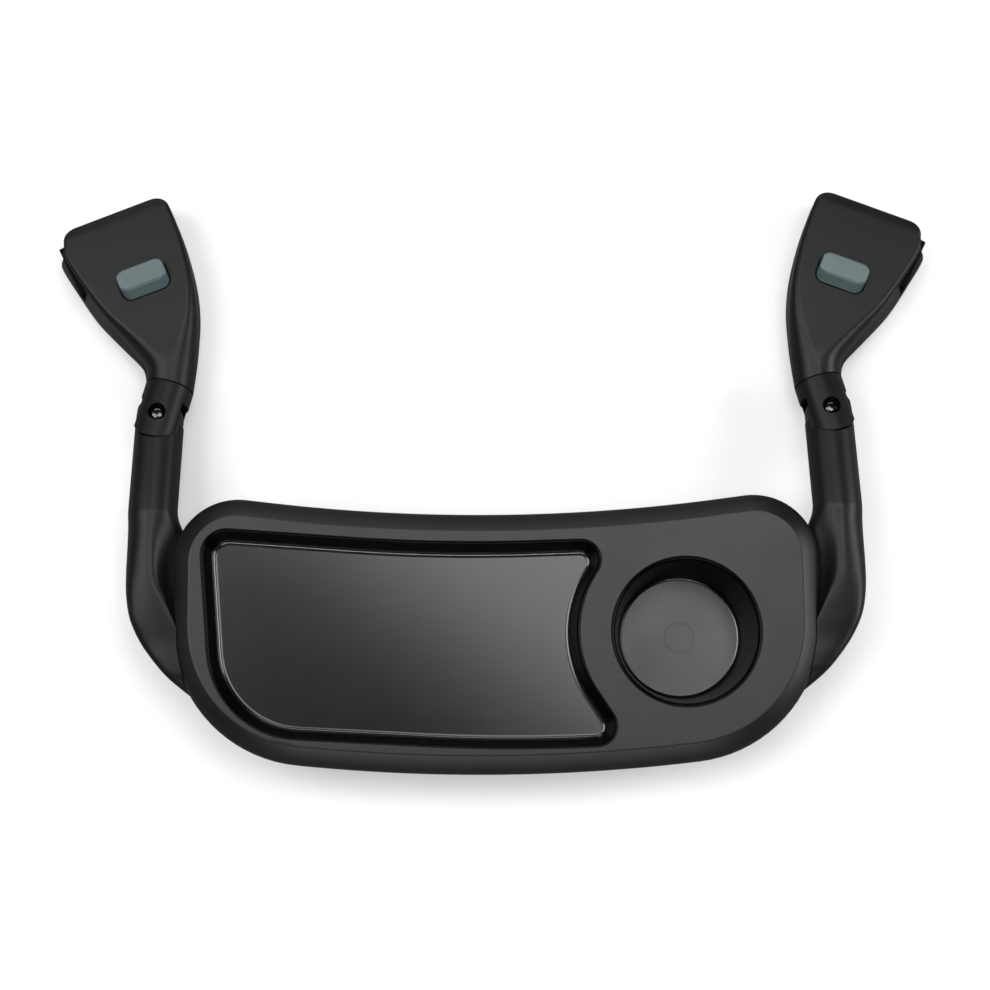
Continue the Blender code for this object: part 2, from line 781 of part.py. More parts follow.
def head_stations(steps):
    """Rows of inner point, outer point, top, underside, roundness, flare and tilt."""
    frame = collar_frame()
    centre = frame @ Vector((0, seam_reach + gap, 0))
    across = Vector((frame.col[0].x, frame.col[0].y, 0)).normalized() * barrel_radius
    inner = Vector((centre.x, centre.y, 0)) - across
    outer = Vector((centre.x, centre.y, 0)) + across
    rows = [[inner, outer, centre.z + barrel_radius, centre.z - barrel_radius, 1.0, 0.0, 1.0]]
    for inner, outer, top, under, roundness, flare, tilt in head_station_shares:
        rows.append([head_point(inner), head_point(outer), top * head_height, under * head_height,
                     roundness, flare, tilt])
    inner, outer = (head_point(share) for share in head_end_share)
    edge = (outer - inner).normalized()
    inward = Vector((edge.y, -edge.x, 0)) * head_corner_radius
    rows.append([inner + inward, outer + inward, head_end_top_share * head_height, 0.0, 0.0, 1.0, 0.0])
    rows = smooth_chain(rows, steps)
    for step in range(1, corner_steps + 1):
        angle = math.pi / 2 * step / corner_steps
        shift = edge * (head_corner_radius * (1 - math.cos(angle)))
        back = inward * (1 - math.sin(angle))
        soften = head_edge_radius * (1 - math.cos(angle))
        rows.append([inner + back + shift, outer + back - shift,
                     head_end_top_share * head_height - soften, soften, 0.0, 1.0, 0.0])
    return rows


def head_section(row, inset):
    inner, outer, top, under, roundness, flare, tilt = row
    edge = (outer - inner).normalized()
    forward = Vector((-edge.y, edge.x, 0))
    up = Vector((0, 0, 1)) * math.cos(arm_slope * tilt) + forward * math.sin(arm_slope * tilt)
    middle = (inner + outer) / 2
    middle.z = (top + under) / 2
    half_width = (outer - inner).length / 2 - inset
    half_height = (top - under) / 2 - inset
    radius = head_edge_radius + (barrel_radius - head_edge_radius) * roundness - inset
    radius = max(min(radius, half_width, half_height), gap)
    corners = ((1, 1, 0.0), (-1, 1, 0.0), (-1, -1, head_inner_flare), (1, -1, head_outer_flare))
    points = []
    for index, (side, level, spread) in enumerate(corners):
        for step in range(corner_steps + 1):
            angle = math.pi / 2 * (index + step / corner_steps)
            x = side * (half_width - radius + spread * flare) + radius * math.cos(angle)
            z = level * (half_height - radius) + radius * math.sin(angle)
            points.append(middle + edge * x + up * z)
    return points


def head_form():
    return loft([head_section(row, 0) for row in head_stations(2)])


def head_hollow():
    """The space inside, from behind the neck to one wall short of the far end."""
    rows = head_stations(1)
    end = rows[-1]
    rows = rows[1:-corner_steps]
    inward = Vector(((end[1] - end[0]).y, -(end[1] - end[0]).x, 0)).normalized() * head_wall
    rows.append([end[0] + inward, end[1] + inward] + rows[-1][2:])
    return loft([head_section(row, head_wall) for row in rows])


def split_frame():
    """On the plane that parts the cover from the base, sloping down from the seam."""
    centre = seam_centre() + Vector((0, 0, head_split_lift))
    fall = math.atan2(centre.z - head_split_far_share * head_height, head_reach)
    return Matrix.Translation(centre) @ Matrix.Rotation(-fall, 4, 'X')


def half_space(above):
    reach = head_reach + head_width
    if above:
        return block((-reach, reach), (-reach, reach), (-gap / 2, reach), split_frame())
    return block((-reach, reach), (-reach, reach), (-reach, gap / 2), split_frame())


def head_shell():
    """The head in one piece: hollow, with screw bosses and the neck's clamping bore."""
    shell = cut(head_form(), head_hollow())
    for share in head_screw_shares:
        place = Matrix.Translation(head_point(share))
        join(shell, turned([(screw_boss_radius, head_wall / 2), (screw_boss_radius, head_height - head_wall / 2)],
                           screw_sides, place))
    along = collar_frame() @ Matrix.Rotation(-math.pi / 2, 4, 'X')
    groove = seam_reach + groove_start
    end = seam_reach + spigot_length + gap
    return cut(shell, turned([(spigot_radius + gap, seam_reach - overrun), (spigot_radius + gap, groove + gap),
                              (spigot_radius - groove_depth + gap, groove + gap),
                              (spigot_radius - groove_depth + gap, groove + groove_width - gap),
                              (spigot_radius + gap, groove + groove_width - gap), (spigot_radius + gap, end)],
                             barrel_sides, along))


def button_frame():
    end_inner, end_outer = (head_point(share) for share in head_end_share)
    edge = end_outer - end_inner
    place = head_point(button_place_share, button_surface_z())
    return Matrix.Translation(place) @ Matrix.Rotation(math.atan2(edge.y, edge.x), 4, 'Z')


def button_surface_z():
    """The head's top under the button, which lies between the fourth station and the third."""
    tops = [row[2] for row in head_station_shares]
    places = [(row[0][1] + row[1][1]) / 2 for row in head_station_shares]
    for low, high, first, second in zip(places, places[1:], tops, tops[1:]):
        if low <= button_place_share[1] <= high:
            part = (button_place_share[1] - low) / (high - low)
            return (first + (second - first) * part) * head_height
    return head_height


def button_ring(grow, front_in, z):
    """The button's outline, grown evenly and with its front edge moved back."""
    outline = offset_outline(rectangle(-button_length / 2, button_length / 2, -button_width / 2,
                                       button_width / 2, button_corner_radius), grow)
    back = button_width / 2 + grow
    squeeze = 1 - front_in / (2 * back)
    return [Vector((point.x, back - (back - point.y) * squeeze, z)) for point in outline]


def make_head_cover(shell, material):
    cover = cut(cut(shell, half_space(False)), socket_block(0))
    hole = loft([button_ring(button_hole_clearance, 0, z) for z in (-head_height / 2, button_height)],
                frame=button_frame())
    cut(cover, hole)
    for share in head_screw_shares:
        place = head_point(share)
        split_z = split_height(place)
        cut(cover, turned([(screw_radius + gap, 0), (screw_radius + gap, split_z + screw_bite + gap)],
                          screw_sides, Matrix.Translation(place)))
    return finish(cover, "right_head_cover", material)


def split_height(place):
    """The split's height over a place."""
    frame = split_frame()
    normal = frame.to_3x3().col[2]
    centre = frame.translation
    return centre.z - (normal.x * (place.x - centre.x) + normal.y * (place.y - centre.y)) / normal.z


def make_head_base(shell, material):
    base = cut(cut(shell, half_space(True)), socket_block(0))
    for share in head_screw_shares:
        place = Matrix.Translation(head_point(share))
        cut(base, turned([(screw_head_radius + gap, -overrun), (screw_head_radius + gap, screw_recess)],
                         screw_sides, place))
        cut(base, turned([(screw_radius + gap, 0), (screw_radius + gap, head_height)], screw_sides, place))
    seat = button_frame() @ Matrix.Translation((spring_place_share * button_length, 0, 0))
    seat.translation.z = 0
    join(base, turned([(spring_radius + 2 * spring_wire_radius, head_wall / 2),
                       (spring_radius + 2 * spring_wire_radius, spring_seat_height),
                       (spring_post_radius, spring_seat_height),
                       (spring_post_radius, spring_post_height)], screw_sides, seat))
    frame = socket_frame()
    inner = -socket_depth - latch_arm_width
    for y_range in ((-latch_width, -latch_width + rail_width), (latch_width - rail_width, latch_width)):
        join(base, block((inner - latch_arm_width, inner + latch_arm_width / 2), y_range,
                         (head_wall / 2, latch_bottom - gap), frame))
    return finish(base, "right_head_base", material)


def make_head_screws(material):
    screws = []
    for name, share in zip(head_screw_names, head_screw_shares):
        place = head_point(share)
        tip = split_height(place) + screw_bite
        screws.append(finish(screw(place.x, place.y, screw_recess, tip), name, material))
    return screws


# Button, spring, socket and hook

def stem_x():
    return stem_place_share * button_length


def make_button(material):
    frame = button_frame()
    flange_top = -head_wall - 2 * gap
    flange_low = flange_top - button_flange_thickness
    slope = button_front_slope / button_height
    flange = loft([button_ring(button_flange, 0, z) for z in (flange_low, flange_top)], frame=frame)
    rings = [button_ring(0, 0, flange_low), button_ring(0, 0, 0)]
    for inset_share, drop_share in ((0.0, 1.0), (0.3, 0.3), (1.0, 0.0)):
        z = button_height - drop_share * button_edge_radius
        rings.append(button_ring(-inset_share * button_edge_radius, z * slope, z))
    button = loft(rings, frame=frame)
    join(button, flange)
    add_stem(button, flange_low)
    return finish(button, "right_release_button", material)


def add_stem(button, flange_low):
    """The post whose slanting end pushes the hook aside."""
    frame = stem_frame()
    half_x, half_y = stem_thickness / 2, stem_width / 2
    tip = latch_bottom + latch_thickness + gap
    top = button_frame().translation.z + flange_low + button_flange_thickness / 2
    profile = [(-half_x, tip + stem_thickness), (half_x, tip), (half_x, top), (-half_x, top)]
    rings = [[Vector((x, y, z)) for x, z in profile] for y in (-half_y, half_y)]
    join(button, loft(rings, frame=frame))


def stem_frame():
    """At the stem, turned to the socket's direction, at the resting plane's height."""
    place = button_frame() @ Vector((stem_x(), 0, 0))
    place.z = 0
    return Matrix.Translation(place) @ Matrix.Rotation(socket_turn, 4, 'Z')


def make_spring(material):
    """A coil from the seat in the base up to the button's flange."""
    frame = button_frame() @ Matrix.Translation((spring_place_share * button_length, 0, 0))
    low = spring_seat_height + gap + spring_wire_radius
    high = frame.translation.z - head_wall - 3 * gap - button_flange_thickness - spring_wire_radius
    frame.translation.z = 0
    count = spring_turns * spring_points_per_turn
    rings = []
    for index in range(count + 1):
        angle = math.tau * spring_turns * index / count
        z = low + (high - low) * index / count
        outward = Vector((math.cos(angle), math.sin(angle), 0))
        ring = []
        for side in range(spring_wire_sides):
            turn = math.tau * side / spring_wire_sides
            ring.append(outward * (spring_radius + spring_wire_radius * math.cos(turn))
                        + Vector((0, 0, z + spring_wire_radius * math.sin(turn))))
        rings.append(ring)
    return finish(loft(rings, frame=frame), "right_button_spring", material)


def socket_frame():
    """At the socket's mouth: X out of the head, Y along its wall, Z up from the resting plane."""
    return Matrix.Translation(head_point(socket_place_share)) @ Matrix.Rotation(socket_turn, 4, 'Z')


def socket_block(inset):
    half = socket_length / 2 - inset
    return block((-socket_depth + inset, socket_proud + head_outer_flare + overrun), (-half, half),
                 (socket_bottom + inset, socket_top - inset), socket_frame())


def make_socket(material):
    """The liner that the stroller's tongue goes into, with a ribbed lower lip."""
    frame = socket_frame()
    half = socket_length / 2 - gap
    mouth = socket_proud
    low, high = socket_bottom + gap, socket_top - gap
    back = -socket_depth + gap
    liner = block((back, mouth), (-half, half), (low, high), frame)
    cut(liner, block((back + socket_wall, mouth + overrun), (-half + socket_wall, half - socket_wall),
                     (low + socket_wall, high - socket_wall), frame))
    lip = block((mouth - wall, mouth + lip_reach), (-half, half), (low, low + lip_height), frame)
    pitch = (socket_length - 2 * socket_wall) / lip_ribs
    for rib in range(lip_ribs):
        y = (rib - (lip_ribs - 1) / 2) * pitch
        join(lip, block((mouth - wall / 2, mouth + lip_reach), (y - lip_rib_width / 2, y + lip_rib_width / 2),
                        (low + lip_height / 2, low + lip_height + lip_rib_height), frame))
    join(liner, lip)
    clearance = latch_window_clearance
    cut(liner, block((back - overrun, back + socket_wall + gap),
                     (-latch_width / 2 - clearance, latch_width / 2 + clearance),
                     (latch_bottom - clearance, latch_bottom + latch_thickness + clearance), frame))
    return finish(liner, "right_clip_socket", material)


def make_latch(material):
    """The hook: a bar into the socket, and an arm to the slanting pad under the button's stem."""
    frame = socket_frame()
    stem = frame.inverted() @ stem_frame().translation
    half_x = stem_thickness / 2
    nose = -socket_depth + gap + socket_wall + latch_hook_reach
    arm_right = stem.x - half_x / 2 + gap
    arm_left = arm_right - latch_arm_width
    end = stem.y - stem_width / 2
    low, high = latch_bottom, latch_bottom + latch_thickness
    half = latch_width / 2
    bar = [(arm_left, -half), (nose - latch_hook_reach, -half), (nose, 0), (nose, half), (arm_left, half)]
    latch = prism([Vector(point) for point in bar], low, high, frame)
    join(latch, block((arm_left, arm_right), (end, half - gap), (low, high), frame))
    ramp = stem.x - half_x + high + stem_thickness - gap * 2
    pad_top = high + latch_pad_height
    profile = [(arm_left, high - latch_thickness / 2), (arm_right, high - latch_thickness / 2),
               (arm_right, ramp - arm_right), (ramp - pad_top, pad_top), (arm_left, pad_top)]
    rings = [[Vector((x, y, z)) for x, z in profile] for y in (end, end + stem_width)]
    join(latch, loft(rings, frame=frame))
    return finish(latch, "right_latch_hook", material)


# Assembly

def mirrored(thing, name):
    """The same piece on the other side, its faces still pointing out."""
    flip = Matrix.Scale(-1, 4, (1, 0, 0))
    mesh = thing.data.copy()
    mesh.name = name
    mesh.transform(flip)
    mesh.flip_normals()
    return add_object(name, mesh, flip @ thing.matrix_world @ flip)


def make_side():
    """Every piece of the cup's side, by the body that carries it."""
    matte = make_material("arm_plastic", (0.030, 0.031, 0.033), 0.50)
    satin = make_material("head_plastic", (0.022, 0.022, 0.024), 0.45)
    steel = make_material("rivet_steel", (0.45, 0.45, 0.46), 0.28, 1.0)
    black = make_material("socket_plastic", (0.008, 0.008, 0.009), 0.55)
    teal = make_material("button_plastic", (0.16, 0.21, 0.22), 0.50)
    shell = head_shell()
    arm = [make_arm_upper(matte), make_arm_cover(matte)] + make_arm_screws(steel)
    head = [make_head_cover(copy_of(shell), satin), make_head_base(shell, satin), make_collar(satin),
            make_pin(steel), make_spring(steel), make_socket(black)] + make_head_screws(steel)
    button = [make_button(teal)]
    latch = [make_latch(black)]
    return {"arm": arm, "head_swing": head, "button_press": button, "latch_slide": latch}


def add_pivot(name, frame, pieces):
    """An empty on a joint's axis that carries its pieces."""
    pivot = bpy.data.objects.new(name, None)
    bpy.context.collection.objects.link(pivot)
    pivot.empty_display_size = barrel_radius
    pivot.matrix_world = frame
    bpy.context.view_layer.update()
    for piece in pieces:
        place = piece.matrix_world.copy()
        piece.parent = pivot
        piece.matrix_parent_inverse = frame.inverted()
        piece.matrix_world = place
    return pivot


def pivots(side, bodies):
    flip = Matrix.Scale(-1, 4, (1, 0, 0))

    def onto(frame):
        return frame if side == "right" else flip @ frame @ flip

    button = add_pivot(f"{side}_button_pivot", onto(button_frame()), bodies["button_press"])
    latch = add_pivot(f"{side}_latch_pivot", onto(socket_frame()), bodies["latch_slide"])
    add_pivot(f"{side}_head_pivot", onto(collar_frame()), bodies["head_swing"] + [button, latch])


def centre_on_origin():
    """Moves the whole model so that its box stands centred on the origin."""
    bpy.context.view_layer.update()
    corners = [thing.matrix_world @ vertex.co for thing in bpy.data.objects if thing.type == 'MESH'
               for vertex in thing.data.vertices]
    low = Vector(min(corner[axis] for corner in corners) for axis in range(3))
    high = Vector(max(corner[axis] for corner in corners) for axis in range(3))
    shift = Vector(((low.x + high.x) / -2, (low.y + high.y) / -2, -low.z))
    for thing in bpy.data.objects:
        if thing.parent is None:
            thing.location += shift
    bpy.context.view_layer.update()
    return shift, high - low


def report(shift, size):
    """Prints the places that a reader of the model needs."""
    print("size", [round(value, 5) for value in size], "shift", [round(value, 5) for value in shift])
    for name in ("right_head_pivot", "right_button_pivot", "right_latch_pivot"):
        frame = bpy.data.objects[name].matrix_world
        print(name, [round(value, 5) for value in frame.translation],
              "x", [round(value, 5) for value in frame.to_3x3().col[0]],
              "z", [round(value, 5) for value in frame.to_3x3().col[2]])
    count = 0
    for thing in bpy.data.objects:
        if thing.type == 'MESH':
            triangles = sum(len(face.vertices) - 2 for face in thing.data.polygons)
            count += triangles
            print(thing.name, triangles)
    print("triangles", count)


def main():
    for thing in list(bpy.data.objects):
        bpy.data.objects.remove(thing)
    make_tray(make_material("tray_plastic", (0.035, 0.036, 0.038), 0.42))
    right = make_side()
    left = {joint: [mirrored(piece, piece.name.replace("right_", "left_")) for piece in pieces]
            for joint, pieces in right.items()}
    pivots("right", right)
    pivots("left", left)
    report(*centre_on_origin())


main()
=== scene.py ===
import bpy
import json
import math
from mathutils import Matrix, Vector


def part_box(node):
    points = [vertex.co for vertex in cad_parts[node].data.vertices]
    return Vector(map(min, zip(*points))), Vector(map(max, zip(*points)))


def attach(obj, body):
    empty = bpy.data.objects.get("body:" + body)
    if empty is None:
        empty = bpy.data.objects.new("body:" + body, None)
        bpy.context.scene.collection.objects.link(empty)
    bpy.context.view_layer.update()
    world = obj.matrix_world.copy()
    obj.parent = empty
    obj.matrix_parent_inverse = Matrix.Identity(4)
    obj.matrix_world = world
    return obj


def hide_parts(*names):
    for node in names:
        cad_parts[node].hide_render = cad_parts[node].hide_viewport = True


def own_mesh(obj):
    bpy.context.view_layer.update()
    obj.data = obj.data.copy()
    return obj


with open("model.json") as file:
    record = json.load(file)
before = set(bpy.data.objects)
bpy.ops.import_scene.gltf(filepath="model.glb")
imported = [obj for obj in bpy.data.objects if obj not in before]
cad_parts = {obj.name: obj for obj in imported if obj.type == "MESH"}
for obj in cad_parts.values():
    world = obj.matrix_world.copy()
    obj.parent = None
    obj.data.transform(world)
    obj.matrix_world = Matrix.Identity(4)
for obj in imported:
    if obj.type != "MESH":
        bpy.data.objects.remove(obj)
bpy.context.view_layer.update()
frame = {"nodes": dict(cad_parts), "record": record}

# The moulds are drawn from the middle of the cup's underside, which the record gives
underside = next(mount for mount in frame["record"]["mounts"] if mount["name"] == "cup_underside")
place = Vector((0, underside["pos_m"][1], underside["pos_m"][2]))
fit = {"gap": 0.0003, "reach": 0.004, "smoothAngle": math.radians(34), "doubles": 0.000004}
slant = math.sqrt(0.5)


# Picking and operators

def pickNone():
    bpy.ops.object.select_all(action='DESELECT')


def only(piece):
    pickNone()
    piece.select_set(True)
    bpy.context.view_layer.objects.active = piece


def editAll(piece):
    only(piece)
    bpy.ops.object.mode_set(mode='EDIT')
    bpy.ops.mesh.select_mode(type='FACE')
    bpy.ops.mesh.select_all(action='SELECT')


def leaveEdit():
    bpy.ops.object.mode_set(mode='OBJECT')


def faceOutward(piece):
    editAll(piece)
    bpy.ops.mesh.normals_make_consistent(inside=False)
    leaveEdit()


def modify(piece, kind, **values):
    only(piece)
    modifier = piece.modifiers.new("step", kind)
    for key, value in values.items():
        setattr(modifier, key, value)
    bpy.ops.object.modifier_apply(modifier=modifier.name)
    return piece


def mergeDoubles(piece):
    editAll(piece)
    bpy.ops.mesh.remove_doubles(threshold=fit["doubles"])
    bpy.ops.mesh.dissolve_degenerate(threshold=fit["doubles"])
    leaveEdit()
    return piece


def combine(piece, tool, operation, keepTool=False):
    modify(piece, 'BOOLEAN', operation=operation, solver='EXACT', object=tool)
    if not keepTool:
        bpy.data.objects.remove(tool)
    return mergeDoubles(piece)


def cut(piece, tool, keepTool=False):
    return combine(piece, tool, 'DIFFERENCE', keepTool)


def fuse(piece, tool):
    return combine(piece, tool, 'UNION')


def keepInside(piece, tool):
    return combine(piece, tool, 'INTERSECT')


def duplicate(piece, name):
    only(piece)
    bpy.ops.object.duplicate()
    copied = bpy.context.object
    copied.name = name
    return copied


def mirrorPiece(piece, name):
    mirrored = duplicate(piece, name)
    editAll(mirrored)
    bpy.ops.transform.resize(value=(-1, 1, 1), center_override=(0, 0, 0))
    bpy.ops.mesh.flip_normals()
    leaveEdit()
    return mirrored


def soften(piece, width, angle=50, segments=2):
    # joins flat neighbours, then rounds the sharp edges
    editAll(piece)
    bpy.ops.mesh.dissolve_limited(angle_limit=math.radians(0.3))
    leaveEdit()
    return modify(piece, 'BEVEL', width=width, segments=segments, limit_method='ANGLE',
                  angle_limit=math.radians(angle), miter_outer='MITER_ARC')


def smoothShade(piece):
    only(piece)
    bpy.ops.object.shade_smooth_by_angle(angle=fit["smoothAngle"])
    return modify(piece, 'WEIGHTED_NORMAL', keep_sharp=True, weight=60)


# Outlines, seen from above

def roundedOutline(corners):
    # each corner is (x, y, radius); a radius is cut down where two corners need the same side
    places = [Vector(corner[:2]) for corner in corners]
    count = len(places)
    halves, reaches = [], []
    for index, corner in enumerate(corners):
        back = (places[index - 1] - places[index]).normalized()
        onward = (places[(index + 1) % count] - places[index]).normalized()
        halves.append(back.angle(onward) / 2)
        reaches.append(corner[2] / math.tan(halves[-1]))
    limited = list(reaches)
    for index in range(count):
        onward = (index + 1) % count
        room = (places[onward] - places[index]).length
        both = reaches[index] + reaches[onward]
        if both > room:
            limited[index] = min(limited[index], reaches[index] * room / both)
            limited[onward] = min(limited[onward], reaches[onward] * room / both)
    points = []
    for index, corner in enumerate(places):
        back = (places[index - 1] - corner).normalized()
        onward = (places[(index + 1) % count] - corner).normalized()
        radius = limited[index] * math.tan(halves[index])
        centre = corner + (back + onward).normalized() * (radius / math.sin(halves[index]))
        start = corner + back * limited[index] - centre
        sweep = math.pi - 2 * halves[index]
        if back.x * onward.y - back.y * onward.x > 0:
            sweep = -sweep
        steps = max(2, math.ceil(abs(sweep) / min(math.radians(5), 0.006 / radius)))
        for step in range(steps + 1):
            point = centre + Matrix.Rotation(sweep * step / steps, 2) @ start
            if not points or (point - points[-1]).length > fit["gap"]:
                points.append(point)
    if (points[0] - points[-1]).length <= fit["gap"]:
        points.pop()
    return points


def offsetOutline(points, distance):
    moved = []
    for index, point in enumerate(points):
        before = (point - points[index - 1]).normalized()
        after = (points[(index + 1) % len(points)] - point).normalized()
        along = (before + after).normalized()
        moved.append(point + Vector((along.y, -along.x)) * (distance / max(before.dot(along), 0.7)))
    return moved


def circlePoints(radius, sides, turn=0.0):
    return [Vector((math.cos(turn + math.tau * side / sides),
                    math.sin(turn + math.tau * side / sides))) * radius for side in range(sides)]


def boxPoints(left, right, front, back):
    return [Vector(corner) for corner in ((left, front), (right, front), (right, back), (left, back))]


def blendFour(a, b, c, d, t):
    return 0.5 * ((2 * b) + (c - a) * t + (2 * a - 5 * b + 4 * c - d) * t ** 2
                  + (3 * b - a - 3 * c + d) * t ** 3)


def smoothLoop(points, steps):
    count = len(points)
    return [blendFour(points[index - 1], points[index], points[(index + 1) % count],
                      points[(index + 2) % count], step / steps)
            for index in range(count) for step in range(steps)]


def smoothChain(rows, steps, straight=0):
    filled = list(rows[:straight])
    last = len(rows) - 1
    for index in range(straight, last):
        four = (rows[max(index - 1, 0)], rows[index], rows[index + 1], rows[min(index + 2, last)])
        for step in range(steps):
            filled.append([blendFour(*values, step / steps) for values in zip(*four)])
    filled.append(rows[last])
    return filled


# Starting shapes

def sharedPlace(vertex):
    # a corner has the same place, seen from above, in every ring
    return tuple(round(value, 5) for value in vertex.co.xy)


def sweepRings(name, rings, matrix=Matrix()):
    # a flat face is drawn up once for every ring, then each corner goes to its place on its ring
    pickNone()
    bpy.ops.mesh.primitive_circle_add(vertices=len(rings[0]), fill_type='NGON')
    piece = bpy.context.object
    piece.name = name
    corners = {sharedPlace(vertex): vertex.index for vertex in piece.data.vertices}
    editAll(piece)
    for _ in rings[1:]:
        bpy.ops.mesh.extrude_region_move(TRANSFORM_OT_translate={"value": (0, 0, 1)})
    leaveEdit()
    for vertex in piece.data.vertices:
        vertex.co = rings[round(vertex.co.z)][corners[sharedPlace(vertex)]]
    faceOutward(mergeDoubles(piece))
    piece.data.transform(matrix)
    return piece


def raised(points, z):
    return [Vector((point.x, point.y, z)) for point in points]


def turnedShape(name, profile, sides, matrix=Matrix()):
    return sweepRings(name, [raised(circlePoints(radius, sides), z) for radius, z in profile], matrix)


def rod(radius, low, high, sides, matrix=Matrix()):
    return turnedShape("rod", [(radius, low), (radius, high)], sides, matrix)


def upright(x, y):
    return Matrix.Translation((x, y, 0))


def block(xRange, yRange, zRange, matrix=Matrix()):
    corners = boxPoints(*xRange, *yRange)
    return sweepRings("block", [raised(corners, zRange[0]), raised(corners, zRange[1])], matrix)


# Finishes

def feed(tree, node, links):
    # each link is (input here, the socket or the value that feeds it)
    for target, source in links:
        if isinstance(source, bpy.types.NodeSocket):
            tree.links.new(source, node.inputs[target])
        else:
            node.inputs[target].default_value = source


def addNode(tree, kind, links=(), **values):
    node = tree.nodes.new(kind)
    for key, value in values.items():
        setattr(node, key, value)
    feed(tree, node, links)
    return node


def mathNode(tree, operation, first, second):
    return addNode(tree, 'ShaderNodeMath', [(0, first), (1, second)], operation=operation).outputs["Value"]


def newGroup(name, inputs, outputs):
    tree = bpy.data.node_groups.new(name, 'ShaderNodeTree')
    for label, kind, value in inputs:
        socket = tree.interface.new_socket(name=label, in_out='INPUT', socket_type=kind)
        if value is not None:
            socket.default_value = value
    for label, kind in outputs:
        tree.interface.new_socket(name=label, in_out='OUTPUT', socket_type=kind)
    return tree, tree.nodes.new('NodeGroupInput').outputs, tree.nodes.new('NodeGroupOutput').inputs


def makeGrainGroup():
    # the mould's fine grain, and wide soft clouds where the plastic took it less well
    tree, given, result = newGroup("mouldGrain", [
        ("Vector", 'NodeSocketVector', None), ("Grain Scale", 'NodeSocketFloat', 2200.0),
        ("Cloud Scale", 'NodeSocketFloat', 26.0)],
        [("Height", 'NodeSocketFloat'), ("Cloud", 'NodeSocketFloat')])
    fine = addNode(tree, 'ShaderNodeTexNoise', [
        ("Vector", given["Vector"]), ("Scale", given["Grain Scale"]), ("Detail", 2.0), ("Roughness", 0.6)])
    cloud = addNode(tree, 'ShaderNodeTexNoise', [
        ("Vector", given["Vector"]), ("Scale", given["Cloud Scale"]), ("Detail", 3.0), ("Roughness", 0.55)])
    tree.links.new(fine.outputs["Fac"], result["Height"])
    tree.links.new(cloud.outputs["Fac"], result["Cloud"])
    return tree


def makeScuffGroup():
    # hairline rubs from wiping and handling, in two slanting directions
    tree, given, result = newGroup("handlingScuffs", [
        ("Vector", 'NodeSocketVector', None), ("Amount", 'NodeSocketFloat', 0.3)],
        [("Mask", 'NodeSocketFloat')])
    masks = []
    for turn, stretch in ((0.5, (55, 900, 300)), (2.2, (40, 700, 300))):
        turned = addNode(tree, 'ShaderNodeMapping', [
            ("Vector", given["Vector"]), ("Rotation", (0, 0, turn)), ("Scale", stretch)])
        lines = addNode(tree, 'ShaderNodeTexNoise', [
            ("Vector", turned.outputs["Vector"]), ("Scale", 1.0), ("Detail", 1.0)])
        masks.append(addNode(tree, 'ShaderNodeMapRange', [
            ("Value", lines.outputs["Fac"]), ("From Min", 0.66), ("From Max", 0.80)]))
    both = mathNode(tree, 'MAXIMUM', masks[0].outputs["Result"], masks[1].outputs["Result"])
    patches = addNode(tree, 'ShaderNodeTexNoise', [
        ("Vector", given["Vector"]), ("Scale", 14.0), ("Detail", 2.0)])
    where = addNode(tree, 'ShaderNodeMapRange', [
        ("Value", patches.outputs["Fac"]), ("From Min", 0.45), ("From Max", 0.70)])
    faded = mathNode(tree, 'MULTIPLY', both, where.outputs["Result"])
    tree.links.new(mathNode(tree, 'MULTIPLY', faded, given["Amount"]), result["Mask"])
    return tree


grainGroup, scuffGroup = makeGrainGroup(), makeScuffGroup()


def makePlastic(name, dark, light, roughness, grainScale=2200.0, bump=0.10, scuffs=0.25, specular=0.36,
                uneven=0.06):
    material = bpy.data.materials.new(name)
    material.use_nodes = True
    tree = material.node_tree
    where = addNode(tree, 'ShaderNodeTexCoord').outputs["Object"]
    grain = addNode(tree, 'ShaderNodeGroup', [("Grain Scale", grainScale), ("Vector", where)],
                    node_tree=grainGroup)
    scuff = addNode(tree, 'ShaderNodeGroup', [("Amount", scuffs), ("Vector", where)], node_tree=scuffGroup)
    shade = addNode(tree, 'ShaderNodeMix', [
        ("Factor", grain.outputs["Cloud"]), ("A", (*dark, 1)), ("B", (*light, 1))], data_type='RGBA')
    # a rub is lighter than the plastic
    rubbed = addNode(tree, 'ShaderNodeMix', [
        ("Factor", scuff.outputs["Mask"]), ("A", shade.outputs["Result"]),
        ("B", (*[value * 1.8 + 0.004 for value in light], 1))], data_type='RGBA')
    rough = addNode(tree, 'ShaderNodeMapRange', [
        ("Value", grain.outputs["Cloud"]), ("To Min", roughness - uneven), ("To Max", roughness + uneven)])
    dents = addNode(tree, 'ShaderNodeBump', [
        ("Height", grain.outputs["Height"]), ("Strength", bump), ("Distance", 0.0002)])
    feed(tree, tree.nodes["Principled BSDF"], [
        ("Specular IOR Level", specular), ("Base Color", rubbed.outputs["Result"]),
        ("Roughness", rough.outputs["Result"]), ("Normal", dents.outputs["Normal"])])
    return material


def makeSteel(name, colour, roughness):
    material = makePlastic(name, [value * 0.9 for value in colour], colour, roughness, 1400.0, 0.05, 0.5)
    material.node_tree.nodes["Principled BSDF"].inputs["Metallic"].default_value = 1.0
    return material


